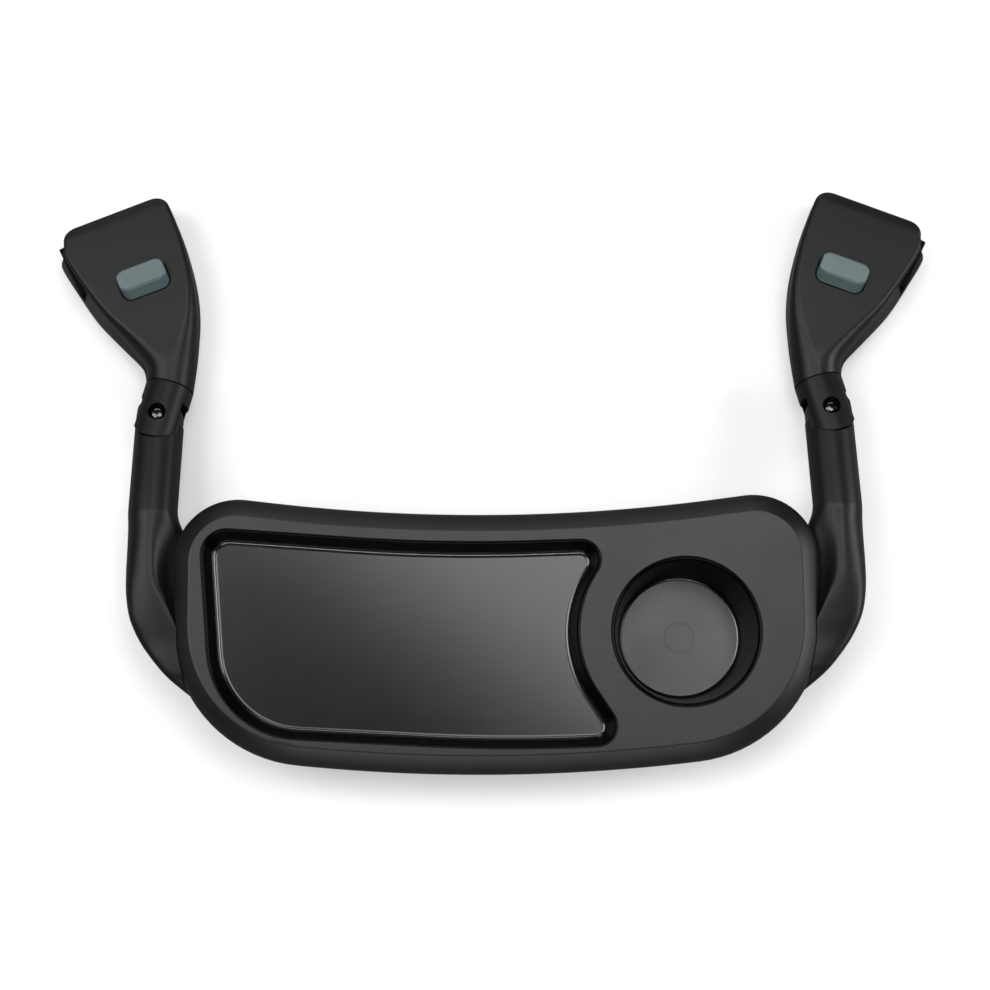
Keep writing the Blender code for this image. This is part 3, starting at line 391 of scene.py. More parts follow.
finishes = {
    "tray": makePlastic("trayPlastic", (0.0034, 0.0035, 0.0039), (0.0054, 0.0056, 0.0061), 0.42,
                        scuffs=0.8, specular=0.42),
    "floor": makePlastic("wellFloorPlastic", (0.0026, 0.0027, 0.0030), (0.0034, 0.0036, 0.0040), 0.205,
                         bump=0.02, scuffs=0.12, specular=0.5, uneven=0.015),
    # the wells' walls are near black and dull as painted shade, for the deep wells whose walls face each
    # other
    "wall": makePlastic("wellWallPaintedShade", (0.0007, 0.0007, 0.0009), (0.0011, 0.0011, 0.0013), 0.30,
                        bump=0.03, scuffs=0.1, specular=0.08),
    "fillet": makePlastic("filletPlastic", (0.0026, 0.0027, 0.0030), (0.0034, 0.0036, 0.0040), 0.20,
                          bump=0.02, scuffs=0.1, specular=1.0, uneven=0.01),
    # the cup's floor is several times lighter than the tray's plastic, a painted sheen for the gloss it
    # shows under the overhead lamp
    "cupFloor": makePlastic("cupFloorPaintedSheen", (0.0140, 0.0143, 0.0148), (0.0300, 0.0304, 0.0310), 0.33,
                            bump=0.06, scuffs=0.6, specular=0.50, uneven=0.09),
    "arm": makePlastic("armPlastic", (0.0032, 0.0033, 0.0037), (0.0050, 0.0052, 0.0056), 0.40,
                       specular=0.26),
    "head": makePlastic("headPlastic", (0.0038, 0.0039, 0.0043), (0.0056, 0.0058, 0.0062), 0.40,
                        scuffs=0.5, specular=0.25),
    # the socket's black plastic, also given as painted shade to faces deep in recesses
    "socket": makePlastic("socketPlasticAndPaintedShade", (0.0012, 0.0012, 0.0013), (0.0018, 0.0018, 0.0019), 0.66,
                          specular=0.06),
    "button": makePlastic("buttonPlastic", (0.070, 0.102, 0.107), (0.078, 0.112, 0.118), 0.29,
                          scuffs=0.10, specular=0.45),
    "steel": makeSteel("screwSteel", (0.22, 0.22, 0.23), 0.24),
    # the rivets' steel is darker than the screws', as painted shade for the dark well that the domes mirror
    "rivet": makeSteel("rivetSteelPaintedShade", (0.085, 0.085, 0.09), 0.17),
}


def paint(piece, finish):
    piece.data.materials.clear()
    piece.data.materials.append(finishes[finish])


def paintShade(piece, finish, isShaded):
    # gives the piece its finish, and the socket's black, as painted shade, to the faces that hardly any
    # light reaches
    piece.data.materials.append(finishes[finish])
    piece.data.materials.append(finishes["socket"])
    for face in piece.data.polygons:
        face.material_index = int(isShaded(face.center))


def addPiece(piece, node, body, finish):
    # shades the piece, gives it its finish and hands it to the body of the node that it stands for
    smoothShade(piece)
    if finish:
        paint(piece, finish)
    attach(piece, body)
    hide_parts(node)


def addPair(piece, node, body, finish):
    # the cup's side is modelled, and the other side is its mirror image
    piece.data.transform(Matrix.Translation(place))
    other = mirrorPiece(piece, piece.name.replace("right", "left"))
    for side, one in (("right", piece), ("left", other)):
        addPiece(one, f"{side}_{node}", body if body == "tray" else f"{side}_{body}", finish)


# Tray

rim = {"halfWidth": 0.1716, "backCorner": 0.0779, "backDip": 0.0214, "frontCorner": 0.0605,
       "frontBow": 0.0187, "backRadius": 0.034, "frontRadius": 0.074, "backSweep": 0.951,
       "frontSweep": 0.966, "bevelWidth": 0.0103, "bevelDrop": 0.0092, "bevelStart": math.radians(24),
       "bevelSteps": 14, "bevelFlat": 0.55, "skirtDrop": 0.0162, "wall": 0.0025, "edgeRound": 0.0007,
       "ribThickness": 0.0016, "ribLift": 0.0022, "ribShares": (-0.72, -0.36, -0.02, 0.30, 0.582)}
cup = {"x": 0.0998, "radius": 0.0400, "depth": 0.0438, "lip": 0.0024, "draft": 0.0045, "fillet": 0.0020,
       "sides": 128, "ringRadius": 0.0079, "ringWidth": 0.0011, "ringHeight": 0.0004}
well = {"depth": 0.0125, "draft": 0.0028, "lip": 0.0022, "fillet": 0.0028, "web": 0.0170, "open": 0.0012,
        "wrap": math.radians(33), "backLeft": (-0.911, 0.730), "backSag": (-0.175, 0.600),
        "backRight": 0.626, "frontLeft": (-0.863, -0.846), "frontSag": (0.029, -1.000),
        "frontRight": -0.964, "backLeftRadius": 0.013, "frontLeftRadius": 0.049, "tipRadius": 0.010,
        "sweep": 0.950}
rimZ = cup["depth"] + rim["wall"]
skirtZ = rimZ - rim["skirtDrop"]


def trayOutline():
    half, back, front = rim["halfWidth"], rim["backCorner"], -rim["frontCorner"]
    return roundedOutline([
        (0, back - rim["backDip"], rim["backSweep"]), (-half, back, rim["backRadius"]),
        (-half, front, rim["frontRadius"]), (0, front - rim["frontBow"], rim["frontSweep"]),
        (half, front, rim["frontRadius"]), (half, back, rim["backRadius"])])


def wellOutline():
    # the side toward the cup is hollow and keeps an even land round it
    bend = cup["radius"] + well["web"]
    touch = Vector((cup["x"] - bend * math.cos(well["wrap"]), bend * math.sin(well["wrap"])))
    back, front = well["backRight"] * rim["backCorner"], well["frontRight"] * rim["frontCorner"]
    lean = math.tan(well["wrap"])

    def corner(share, radius):
        depth = rim["backCorner"] if share[1] > 0 else rim["frontCorner"]
        return (share[0] * rim["halfWidth"], share[1] * depth, radius)

    return roundedOutline([
        corner(well["backSag"], well["sweep"]), corner(well["backLeft"], well["backLeftRadius"]),
        corner(well["frontLeft"], well["frontLeftRadius"]), corner(well["frontSag"], well["sweep"]),
        (touch.x - (front + touch.y) * lean, front, well["tipRadius"]),
        (cup["x"] - bend / math.cos(well["wrap"]), 0, bend),
        (touch.x + (back - touch.y) * lean, back, well["tipRadius"])])


def quarter(steps):
    return [math.pi / 2 * step / steps for step in range(1, steps + 1)]


def filletRows(inset, low, wide, high, steps):
    # from an upright wall round into a level floor
    return [(inset + wide * (1 - math.cos(angle)), low + high * (1 - math.sin(angle)))
            for angle in quarter(steps)]


def bevelRows(inset):
    # up the rim's bevel, part round and part flat, to the flat land
    first, rows = math.sin(rim["bevelStart"]), []
    for step in range(rim["bevelSteps"], -1, -1):
        angle = rim["bevelStart"] + (math.pi / 2 - rim["bevelStart"]) * step / rim["bevelSteps"]
        along = (math.sin(angle) - first) / (1 - first)
        down = (math.cos(rim["bevelStart"]) - math.cos(angle)) / math.cos(rim["bevelStart"])
        down += (along - down) * rim["bevelFlat"]
        rows.append((inset + rim["bevelWidth"] * (1 - along), rimZ - inset - rim["bevelDrop"] * down))
    return rows


def wellRows(hole, lipSteps=6, filletSteps=6):
    # over the lip, down the wall and through the fillet to the floor
    rows = [(0, rimZ)]
    rows += [(hole["lip"] * math.sin(angle), rimZ - hole["lip"] * (1 - math.cos(angle)))
             for angle in quarter(lipSteps)]
    start, low = hole["lip"] + hole["draft"], rimZ - hole["depth"]
    rows.append((start, low + hole["fillet"]))
    return rows + filletRows(start, low, hole["fillet"], hole["fillet"], filletSteps)


def innerSpace(inset):
    outline = trayOutline()
    rows = [(inset, skirtZ - fit["reach"])] + bevelRows(inset)
    return sweepRings("space", [raised(offsetOutline(outline, -step), z) for step, z in rows])


def bothSides(spots):
    return [(spot.x * side, spot.y) for spot in spots for side in (1, -1)]


def makeRibs():
    half, wall, thick = rim["halfWidth"], rim["wall"], rim["ribThickness"] / 2
    back, front = rim["backCorner"] + fit["reach"], -rim["frontCorner"] - rim["frontBow"] - fit["reach"]
    heights = (skirtZ + rim["ribLift"], rimZ)
    ribs = block((-half, half), (-thick, thick), heights)
    for share in rim["ribShares"]:
        fuse(ribs, block((share * half - thick, share * half + thick), (front, back), heights))
    for x, y in bothSides(footScrewSpots()):
        fuse(ribs, rod(screw["boss"], skirtZ, rimZ, 32, upright(x, y)))
    keepInside(ribs, innerSpace(wall / 2))
    wellWall = offsetOutline(wellOutline(), wall / 2)
    cut(ribs, sweepRings("well", [raised(wellWall, rimZ + fit["reach"]),
                                  raised(wellWall, rimZ - well["depth"] - wall / 2)]))
    inside = cup["radius"] - cup["lip"] + wall / 2
    cut(ribs, turnedShape("cup", [(inside - cup["draft"], wall / 2), (inside, rimZ + fit["reach"])], 64,
                          upright(cup["x"], 0)))
    bore = screw["radius"] + fit["gap"]
    for x, y in bothSides(footScrewSpots()):
        cut(ribs, rod(bore, skirtZ - fit["reach"], skirtZ + screw["bite"], 24, upright(x, y)))
    return ribs


def solidRows(name, outline, rows, above=0.0):
    # a solid whose outline shrinks row by row; each row is (inset, height)
    rings = [raised(offsetOutline(outline, -inset), z) for inset, z in rows]
    if above:
        rings.insert(0, raised(outline, rows[0][1] + above))
    return sweepRings(name, rings)


trayFinishes = ("tray", "floor", "cupFloor", "wall", "fillet")


def markFaces(tool, filletTop, floorFinish):
    # a tool's faces keep their finish in the cut that they leave; the walls' near-black finish is painted
    # shade
    for finish in trayFinishes:
        tool.data.materials.append(finishes[finish])
    for face in tool.data.polygons:
        level = abs(face.normal.z) > 0.99
        finish = "wall" if face.center.z > filletTop else floorFinish if level else "fillet"
        face.material_index = trayFinishes.index(finish)


def trayBody():
    wall, edge = rim["wall"], rim["edgeRound"]
    foot = [(edge * (1 - math.sin(angle)), skirtZ + edge * (1 - math.cos(angle))) for angle in quarter(3)]
    tray = solidRows("trayBody", trayOutline(), [(edge, skirtZ)] + foot + bevelRows(0))
    cut(tray, solidRows("hollow", trayOutline(), [(wall, skirtZ - fit["reach"])] + bevelRows(wall)))
    return fuse(tray, makeRibs())


def cupRing(radius):
    return [point + Vector((cup["x"], 0)) for point in circlePoints(radius, cup["sides"])]


def addBowls(tray):
    # the solids under the two wells, which the wells then hollow
    wall, low = rim["wall"], rimZ - well["depth"] - rim["wall"]
    bowl = [(0, rimZ - wall / 2), (0, low + 2 * wall)] + filletRows(0, low, well["draft"], 2 * wall, 5)
    fuse(tray, solidRows("bowl", offsetOutline(wellOutline(), wall), bowl))
    base = [(0, rimZ - wall / 2), (cup["draft"], wall)] + filletRows(cup["draft"], 0, wall, wall, 6)
    fuse(tray, solidRows("cupWall", cupRing(cup["radius"] - cup["lip"] + wall), base))


def cutWells(tray):
    snack = solidRows("snack", offsetOutline(wellOutline(), well["open"]), wellRows(well), fit["reach"])
    drink = solidRows("drink", cupRing(cup["radius"]), wellRows(cup, 8, 6), fit["reach"])
    # the cup's floor takes the cupFloor finish, which is lighter as painted sheen
    for hole, sizes, floorFinish in ((snack, well, "floor"), (drink, cup, "cupFloor")):
        markFaces(hole, rimZ - sizes["depth"] + sizes["fillet"], floorFinish)
        cut(tray, hole)


def addGateRing(tray):
    # the mark that the mould's gate leaves in the middle of the cup's floor
    radius, width, high = cup["ringRadius"], cup["ringWidth"], cup["ringHeight"]
    spot = Matrix.Translation((cup["x"], 0, rim["wall"]))
    gate = turnedShape("gate", [(radius + width / 2, -high), (radius + width / 4, high)], 64, spot)
    core = [(radius - width / 2, -2 * high), (radius - width / 4, 2 * high)]
    cut(gate, turnedShape("core", core, 64, spot))
    markFaces(gate, rimZ, "cupFloor")
    fuse(tray, gate)


def makeTray():
    tray = trayBody()
    addBowls(tray)
    for finish in trayFinishes:
        tray.data.materials.append(finishes[finish])
    cutWells(tray)
    addGateRing(tray)
    tray.data.transform(Matrix.Translation(place))
    addPiece(tray, "tray_shell", "tray", None)
    print("tray done")


# Screws, one shape for every place

screw = {"radius": 0.0011, "headRadius": 0.0026, "headHeight": 0.0018, "shank": 0.0090, "tip": 0.0010,
         "recess": 0.0024, "boss": 0.0038, "bite": 0.0060, "footInset": 0.0080,
         "footShares": (0.440, 0.235), "crossWidth": 0.0007, "crossReach": 0.0016, "crossDepth": 0.0010,
         "domeShare": 0.6, "tipShare": 0.4}


def footScrewSpots():
    x = rim["halfWidth"] - screw["footInset"]
    return [Vector((x, arm["tipY"] + share * armSpan)) for share in screw["footShares"]]


def makeScrew():
    # a pan head with a cross recess, seen from below, and a plain shank that points up
    radius, height, shank = screw["headRadius"], screw["headHeight"], screw["radius"]
    dome = [(radius * math.sin(angle), height * screw["domeShare"] * (1 - math.cos(angle)))
            for angle in quarter(6)]
    end = height + screw["shank"]
    shape = turnedShape("screw", dome + [(radius, height), (shank, height), (shank, end),
                                         (shank * screw["tipShare"], end + screw["tip"])], 32)
    half, reach, deep = screw["crossWidth"] / 2, screw["crossReach"], screw["crossDepth"]
    for xRange, yRange in (((-reach, reach), (-half, half)), ((-half, half), (-reach, reach))):
        cut(shape, block(xRange, yRange, (-deep, deep)))
    return shape


def placeScrews():
    master = makeScrew()
    names = [name for name in frame["nodes"] if "_screw" in name]
    for name in names:
        low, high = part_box(name)
        one = duplicate(master, name.replace("screw", "panScrew"))
        grow = (high.z - low.z) - (screw["headHeight"] + screw["shank"] + screw["tip"])
        for vertex in one.data.vertices:
            if vertex.co.z > screw["headHeight"] + screw["shank"] / 2:
                vertex.co.z += grow
        one.data.transform(Matrix.Translation(((low.x + high.x) / 2, (low.y + high.y) / 2, low.z)))
        side = name.split("_")[0]
        body = "tray" if "cover" in name or "foot" in name else f"{side}_head"
        addPiece(one, name, body, "steel")
    bpy.data.objects.remove(master)
    print("screws done:", len(names))


# Arms

arm = {"tipY": -0.0325, "outerReach": 0.0257, "footReach": 0.0166, "depth": 0.0285, "wall": 0.0024,
       "coverHeight": 0.0050, "bossLow": 0.0012, "bossHigh": 0.0022, "solidLength": 0.0235,
       "slope": math.radians(11), "toe": math.radians(1.5),
       "roundShares": (1.09, 0.87, 0.75, 0.66), "rootFullness": 0.90,
       "rootShares": (  # along, outer, ridge, shoulder, inner, top, shoulder's height, under
           (0.590, 0.990, 0.46, 0.06, 0.23, 0.09, 0.30, 1.05),
           (0.431, 1.000, 0.38, 0.05, 1.00, 0.07, 0.40, 0.97),
           (0.348, 0.965, 0.21, 0.02, 1.00, 0.09, 0.34, 0.95),
           (0.271, 0.848, 0.02, -0.10, 1.00, 0.14, 0.27, 0.93),
           (0.195, 0.638, -0.16, -0.25, 1.00, 0.19, 0.28, 0.90),
           (0.124, 0.339, -0.29, -0.36, 1.00, 0.21, 0.32, 0.86),
           (0.067, 0.035, -0.40, -0.46, 1.02, 0.26, 0.38, 0.81),
           (0.000, -0.440, -0.60, -0.66, 1.06, 0.48, 0.60, 0.70))}
knuckle = {"outset": 0.0110, "pinY": 0.1204, "pinZ": 0.0205, "lean": math.radians(12), "barrel": 0.0132,
           "earReach": 0.0142, "tongueHalf": 0.0066, "tongueShoulder": 0.0052, "tongueInset": 0.0010,
           "pinRadius": 0.0028, "pinHead": 0.0037, "pinHeadHeight": 0.0018, "pinRim": 0.25,
           "pinWell": 0.0042, "mouthGap": 0.0012, "sunk": 0.0021, "slotMouth": 0.0096,
           "seamGap": 0.0008, "seamReach": 0.0187,
           "seamEdge": 0.0004, "edge": 0.00035, "spigotRadius": 0.0098, "spigotLength": 0.0145,
           "spigotBore": 0.0056, "grooveDepth": 0.0018, "grooveStart": 0.0050, "grooveWidth": 0.0040,
           "sides": 96, "pinSides": 48}
pinX = rim["halfWidth"] + knuckle["outset"]
armSpan = knuckle["pinY"] - arm["tipY"]


def knuckleMatrix():
    return (Matrix.Translation((pinX, knuckle["pinY"], knuckle["pinZ"]))
            @ Matrix.Rotation(arm["toe"], 4, 'Z') @ Matrix.Rotation(-arm["slope"], 4, 'X'))


def collarMatrix():
    return knuckleMatrix() @ Matrix.Rotation(knuckle["lean"], 4, 'Z')


def alongCollar():
    # the collar's frame with its axis upward
    return collarMatrix() @ Matrix.Rotation(-math.pi / 2, 4, 'X')


def armSection(along, outer, ridge, shoulder, inner, top, shoulderZ, under, fullness=slant):
    y, height = arm["tipY"] + along * armSpan, top - under
    middleZ, low = (top + under) / 2, under + height * (1 - slant) / 2
    middle = (outer + inner) / 2
    points = ((outer, middleZ), (ridge + (outer - ridge) * fullness, under + height * (1 + fullness) / 2),
              (ridge, top), (shoulder, shoulderZ), (inner, middleZ),
              (middle - (middle - inner) * slant, low), (middle, under),
              (ridge + (outer - ridge) * slant, low))
    return [Vector((x, y, z)) for x, z in points]


def armStations():
    rows, radius, half = [], knuckle["barrel"], rim["halfWidth"]
    for along in arm["roundShares"]:
        back = (1 - along) * armSpan
        x, z = pinX + back * math.tan(arm["toe"]), knuckle["pinZ"] + back * math.tan(arm["slope"])
        rows.append(armSection(along, x + radius, x, x - radius * slant, x - radius, z + radius,
                               z + radius * slant, z - radius))
    for index, (along, outer, ridge, shoulder, inner, *downs) in enumerate(arm["rootShares"]):
        rows.append(armSection(
            along, *[half + share * arm["outerReach"] for share in (outer, ridge, shoulder)],
            half - inner * arm["footReach"], *[rimZ - share * arm["depth"] for share in downs],
            slant + (arm["rootFullness"] - slant) * min(1, index / 3)))
    return rows


def armForm():
    rows = smoothChain(armStations(), 6, len(arm["roundShares"]) - 1)
    return sweepRings("arm", [smoothLoop(row, 6) for row in rows])


def trayEnvelope(clearance):
    # the closed space that the rim and skirt take, with a clearance
    outline = trayOutline()
    rings = [raised(offsetOutline(outline, clearance), skirtZ - clearance)]
    rings += [raised(offsetOutline(outline, clearance - inset), z + clearance) for inset, z in bevelRows(0)]
    rings.append(raised(offsetOutline(outline, clearance - rim["bevelWidth"]), rimZ + fit["reach"]))
    return sweepRings("envelope", rings)


def armHollow():
    rings = []
    for row in smoothChain(armStations(), 2, 1):
        y = row[0].y
        if arm["tipY"] + arm["wall"] < y < knuckle["pinY"] - arm["solidLength"]:
            flat = offsetOutline([Vector((point.x, point.z)) for point in smoothLoop(row, 2)], -arm["wall"])
            rings.append([Vector((point.x, y, point.y)) for point in flat])
    return cut(sweepRings("hollow", rings), trayEnvelope(fit["gap"] + arm["wall"]))


def lowerSpace(clearance):
    # the space of the arm's lower cover
    first, last, reach = knuckle["pinY"] - arm["solidLength"], arm["tipY"] + 2 * arm["wall"], fit["reach"]
    rings = []
    for row in armStations():
        y = row[0].y
        if last <= y <= first:
            left, right, low = row[4].x - reach, row[0].x + reach, row[6].z - reach
            high = row[6].z + arm["coverHeight"] + clearance
            rings.append([Vector((x, y, z)) for x, z in (
                (left, low), (right, low), (right, high), (left, high))])
    for ring, shift in ((rings[0], clearance), (rings[-1], -clearance)):
        for point in ring:
            point.y += shift
    return sweepRings("lower", rings)


def armScrewSpots():
    # each screw's place and the underside there
    spots = []
    for name in ("cover_screw", "foot_screw_back", "foot_screw_front"):
        low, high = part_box(f"right_{name}")
        middle = (low + high) / 2 - place
        spots.append((middle.x, middle.y, low.z - place.z))
    return spots


def makeArm():
    body = cut(armForm(), trayEnvelope(fit["gap"]))
    hollow = armHollow()
    lid = keepInside(duplicate(body, "rightArmCover"), lowerSpace(-fit["gap"]))
    cut(lid, hollow, keepTool=True)
    cut(body, hollow)
    cut(body, lowerSpace(0))
    cutTongue(body)
    headSpace, shank = screw["headRadius"] + fit["gap"], screw["radius"] + fit["gap"]
    for x, y, low in armScrewSpots():
        spot, seat = upright(x, y), low + screw["headHeight"] + fit["gap"]
        fuse(lid, rod(screw["boss"], seat - arm["bossLow"], seat + arm["bossHigh"], 32, spot))
        cut(lid, rod(headSpace, low - fit["reach"], seat, 32, spot))
        cut(lid, rod(shank, low, seat + fit["reach"], 24, spot))
    body.name = "rightArmUpper"
    addPair(body, "arm_upper", "tray", "arm")
    addPair(lid, "arm_cover", "tray", "arm")
    print("arms done")


def cutTongue(body):
    # a flat tongue, rounded about the pin, goes between the collar's ears
    matrix, sides, reach = knuckleMatrix(), knuckle["sides"], fit["reach"]
    beyond, room = knuckle["barrel"] + reach, knuckle["earReach"] + knuckle["seamGap"]
    for low, high in ((knuckle["tongueHalf"], beyond), (-beyond, -knuckle["tongueHalf"])):
        cut(body, rod(room, low, high, sides, matrix))
    nose = block((-beyond, beyond), (-knuckle["tongueShoulder"], room + reach), (-beyond, beyond), matrix)
    disc = knuckle["barrel"] - knuckle["tongueInset"]
    cut(nose, rod(disc, -beyond - reach, beyond + reach, sides, matrix))
    cut(body, nose)
    cut(body, rod(knuckle["pinRadius"] + fit["gap"], -beyond, beyond, knuckle["pinSides"], matrix))


# Knuckle

def collarBody():
    reach, seam, barrel = fit["reach"], knuckle["seamReach"], knuckle["barrel"]
    spigot, bevel = knuckle["spigotRadius"], knuckle["seamEdge"]
    groove, neck = seam + knuckle["grooveStart"], spigot - knuckle["grooveDepth"]
    grooveEnd = groove + knuckle["grooveWidth"]
    return turnedShape("rightKnuckleCollar", [
        (barrel, -knuckle["earReach"] - reach), (barrel, seam - bevel), (barrel - bevel, seam),
        (spigot, seam), (spigot, groove), (neck, groove), (neck, grooveEnd), (spigot, grooveEnd),
        (spigot, seam + knuckle["spigotLength"])], knuckle["sides"], alongCollar())


def makeCollar():
    matrix, sides, gap, reach = collarMatrix(), knuckle["sides"], fit["gap"], fit["reach"]
    barrel, ear, seam = knuckle["barrel"], knuckle["earReach"], knuckle["seamReach"]
    end = seam + knuckle["spigotLength"] + reach
    collar = collarBody()
    beyond, slot = barrel + reach, knuckle["tongueHalf"] + knuckle["seamGap"]
    cut(collar, rod(barrel - knuckle["tongueInset"] + gap, -slot, slot, sides, matrix))
    cut(collar, block((-beyond, beyond), (-ear - 2 * reach, knuckle["slotMouth"]), (-slot, slot), matrix))
    ears = rod(ear, -beyond, beyond, sides, matrix)
    fuse(ears, block((-beyond, beyond), (0, end), (-beyond, beyond), matrix))
    keepInside(collar, ears)
    bed, mouth = barrel - knuckle["pinWell"], knuckle["pinHead"] + knuckle["mouthGap"]
    for radius, low, high in ((knuckle["pinRadius"] + gap, -beyond, beyond), (mouth, bed, beyond),
                              (mouth, -beyond, -bed)):
        cut(collar, rod(radius, low, high, knuckle["pinSides"], matrix))
    cut(collar, rod(knuckle["spigotBore"], seam + knuckle["grooveStart"], end, 48, alongCollar()))
    soften(collar, knuckle["edge"])

    def inWell(centre):
        spot = matrix.inverted() @ centre
        return spot.xy.length < mouth + gap and abs(spot.z) < barrel - knuckle["sunk"]

    # the pin well's faces get the socket's black as painted shade, for the shadow in the well
    paintShade(collar, "head", inWell)
    addPair(collar, "knuckle_collar", "head", None)


def makePin():
    # a rivet with a polished dome sunk in each ear; its darker steel is painted shade
    seat, radius = knuckle["barrel"] - knuckle["pinWell"] + fit["gap"], knuckle["pinHead"]
    high, rimShare = knuckle["pinHeadHeight"], knuckle["pinRim"]
    dome = [(radius, seat), (radius, seat + high * rimShare)]
    dome += [(radius * math.cos(angle), seat + high * (rimShare + (1 - rimShare) * math.sin(angle)))
             for angle in quarter(10)[:-1]]
    shank = [(knuckle["pinRadius"], -seat), (knuckle["pinRadius"], seat)]
    pin = turnedShape("rightKnucklePin", [(size, -z) for size, z in reversed(dome)] + shank + dome,
                      knuckle["pinSides"], collarMatrix())
    addPair(pin, "knuckle_pin", "head", "rivet")


# Clip heads

head = {"reach": 0.1085, "turn": math.radians(-1.8), "width": 0.0580, "height": 0.0290, "corner": 0.0074,
        "edge": 0.0026, "outerFlare": 0.0060, "innerFlare": -0.0006, "flareFade": 6, "wall": 0.0024,
        "splitLift": 0.0009, "splitFar": 0.32, "endTop": 0.955, "cornerSteps": 8, "alongSteps": 7,
        "stations": (  # inner and outer end, top, underside, roundness, flare, tilt
            ((-0.260, 0.109), (0.221, 0.113), 1.060, 0.105, 0.90, 0.35, 0.55),
            ((-0.278, 0.230), (0.376, 0.230), 1.035, 0.040, 0.66, 0.75, 0.25),
            ((-0.286, 0.389), (0.600, 0.380), 1.010, 0.000, 0.30, 1.00, 0.00),
            ((-0.253, 0.558), (0.798, 0.542), 0.990, 0.000, 0.08, 1.00, 0.00),
            ((-0.159, 0.763), (0.953, 0.689), 0.970, 0.000, 0.00, 1.00, 0.00)),
        "end": ((-0.003, 1.000), (0.997, 0.812))}
button = {"place": (0.195, 0.5416), "length": 0.0268, "width": 0.0157, "height": 0.0062, "slope": 0.0042,
          "corner": 0.0050, "edge": 0.0009, "clearance": 0.0008, "flange": 0.0012, "flangeThick": 0.0015,
          "stemPlace": 0.33, "stemThick": 0.0040, "stemWidth": 0.0070}
spring = {"radius": 0.0031, "wire": 0.0004, "wireSides": 10, "turns": 5, "stepsPerTurn": 32,
          "travel": 0.0030}
socket = {"place": (0.925, 0.610), "turn": math.radians(-30.7), "length": 0.0290, "depth": 0.0140,
          "bottom": 0.0052, "top": 0.0232, "proud": 0.0006, "trim": math.radians(5),
          "edge": 0.0008}
latch = {"bottom": 0.0100, "thick": 0.0030, "edge": 0.0003}


def headPoint(share, z=0.0):
    centre = collarMatrix() @ Vector((0, knuckle["seamReach"], 0))
    spot = Matrix.Rotation(head["turn"], 2) @ Vector((share[0] * head["width"], share[1] * head["reach"]))
    return Vector((centre.x + spot.x, centre.y + spot.y, z))


def headRows(steps):
    matrix, barrel = collarMatrix(), knuckle["barrel"]
    centre = matrix @ Vector((0, knuckle["seamReach"] + fit["gap"], 0))
    xAxis = matrix.to_3x3().col[0]
    across = Vector((xAxis.x, xAxis.y, 0)).normalized() * barrel
    flat = Vector((centre.x, centre.y, 0))
    rows = [[flat - across, flat + across, centre.z + barrel, centre.z - barrel, 1.0, 0.0, 1.0]]
    for inner, outer, top, under, roundness, flare, tilt in head["stations"]:
        rows.append([headPoint(inner), headPoint(outer), top * head["height"], under * head["height"],
                     roundness, flare, tilt])
    inner, outer = (headPoint(share) for share in head["end"])
    edge = (outer - inner).normalized()
    inward = Vector((edge.y, -edge.x, 0)) * head["corner"]
    farTop = head["endTop"] * head["height"]
    rows.append([inner + inward, outer + inward, farTop, 0.0, 0.0, 1.0, 0.0])
    rows = smoothChain(rows, steps)
    for row in rows:
        row[3] = max(row[3], 0.0)
    for angle in quarter(head["cornerSteps"]):
        shift, back = edge * (head["corner"] * (1 - math.cos(angle))), inward * (1 - math.sin(angle))
        softer = head["edge"] * (1 - math.cos(angle))
        rows.append([inner + back + shift, outer + back - shift, farTop - softer, softer, 0.0,
                     math.cos(angle) ** head["flareFade"], 0.0])
    return rows


def headSection(row, inset, cornerSteps):
    inner, outer, top, under, roundness, flare, tilt = row
    edge = (outer - inner).normalized()
    forward = Vector((-edge.y, edge.x, 0))
    up = Vector((0, 0, 1)) * math.cos(arm["slope"] * tilt) + forward * math.sin(arm["slope"] * tilt)
    middle = (inner + outer) / 2
    middle.z = (top + under) / 2
    halfWidth, halfHeight = (outer - inner).length / 2 - inset, (top - under) / 2 - inset
    radius = head["edge"] + (knuckle["barrel"] - head["edge"]) * roundness - inset
    radius = max(min(radius, halfWidth, halfHeight), fit["gap"])
    points = []
    for index, (side, level, spread) in enumerate(((1, 1, 0.0), (-1, 1, 0.0), (-1, -1, head["innerFlare"]),
                                                   (1, -1, head["outerFlare"]))):
        for step in range(cornerSteps + 1):
            angle = math.pi / 2 * (index + step / cornerSteps)
            x = side * (halfWidth - radius + spread * flare) + radius * math.cos(angle)
            z = level * (halfHeight - radius) + radius * math.sin(angle)
            points.append(middle + edge * x + up * z)
    return points


def splitMatrix():
    centre = collarMatrix() @ Vector((0, knuckle["seamReach"], 0)) + Vector((0, 0, head["splitLift"]))
    fall = math.atan2(centre.z - head["splitFar"] * head["height"], head["reach"])
    return Matrix.Translation(centre) @ Matrix.Rotation(-fall, 4, 'X')


def headHollow():
    rows = headRows(1)
    end = rows[-1]
    rows = rows[1:-head["cornerSteps"]]
    inward = Vector(((end[1] - end[0]).y, -(end[1] - end[0]).x, 0)).normalized() * head["wall"]
    rows.append([end[0] + inward, end[1] + inward] + rows[-1][2:])
    return sweepRings("hollow", [headSection(row, head["wall"], 4) for row in rows])


def buttonMatrix():
    inner, outer = (headPoint(share) for share in head["end"])
    edge = outer - inner
    tops = [(sum(spot[1] for spot in row[:2]) / 2, row[2] * head["height"]) for row in head["stations"]]
    y = button["place"][1]
    low, high = next((a, b) for a, b in zip(tops, tops[1:]) if a[0] <= y <= b[0])
    z = low[1] + (high[1] - low[1]) * (y - low[0]) / (high[0] - low[0])
    return (Matrix.Translation(headPoint(button["place"], z))
            @ Matrix.Rotation(math.atan2(edge.y, edge.x), 4, 'Z'))


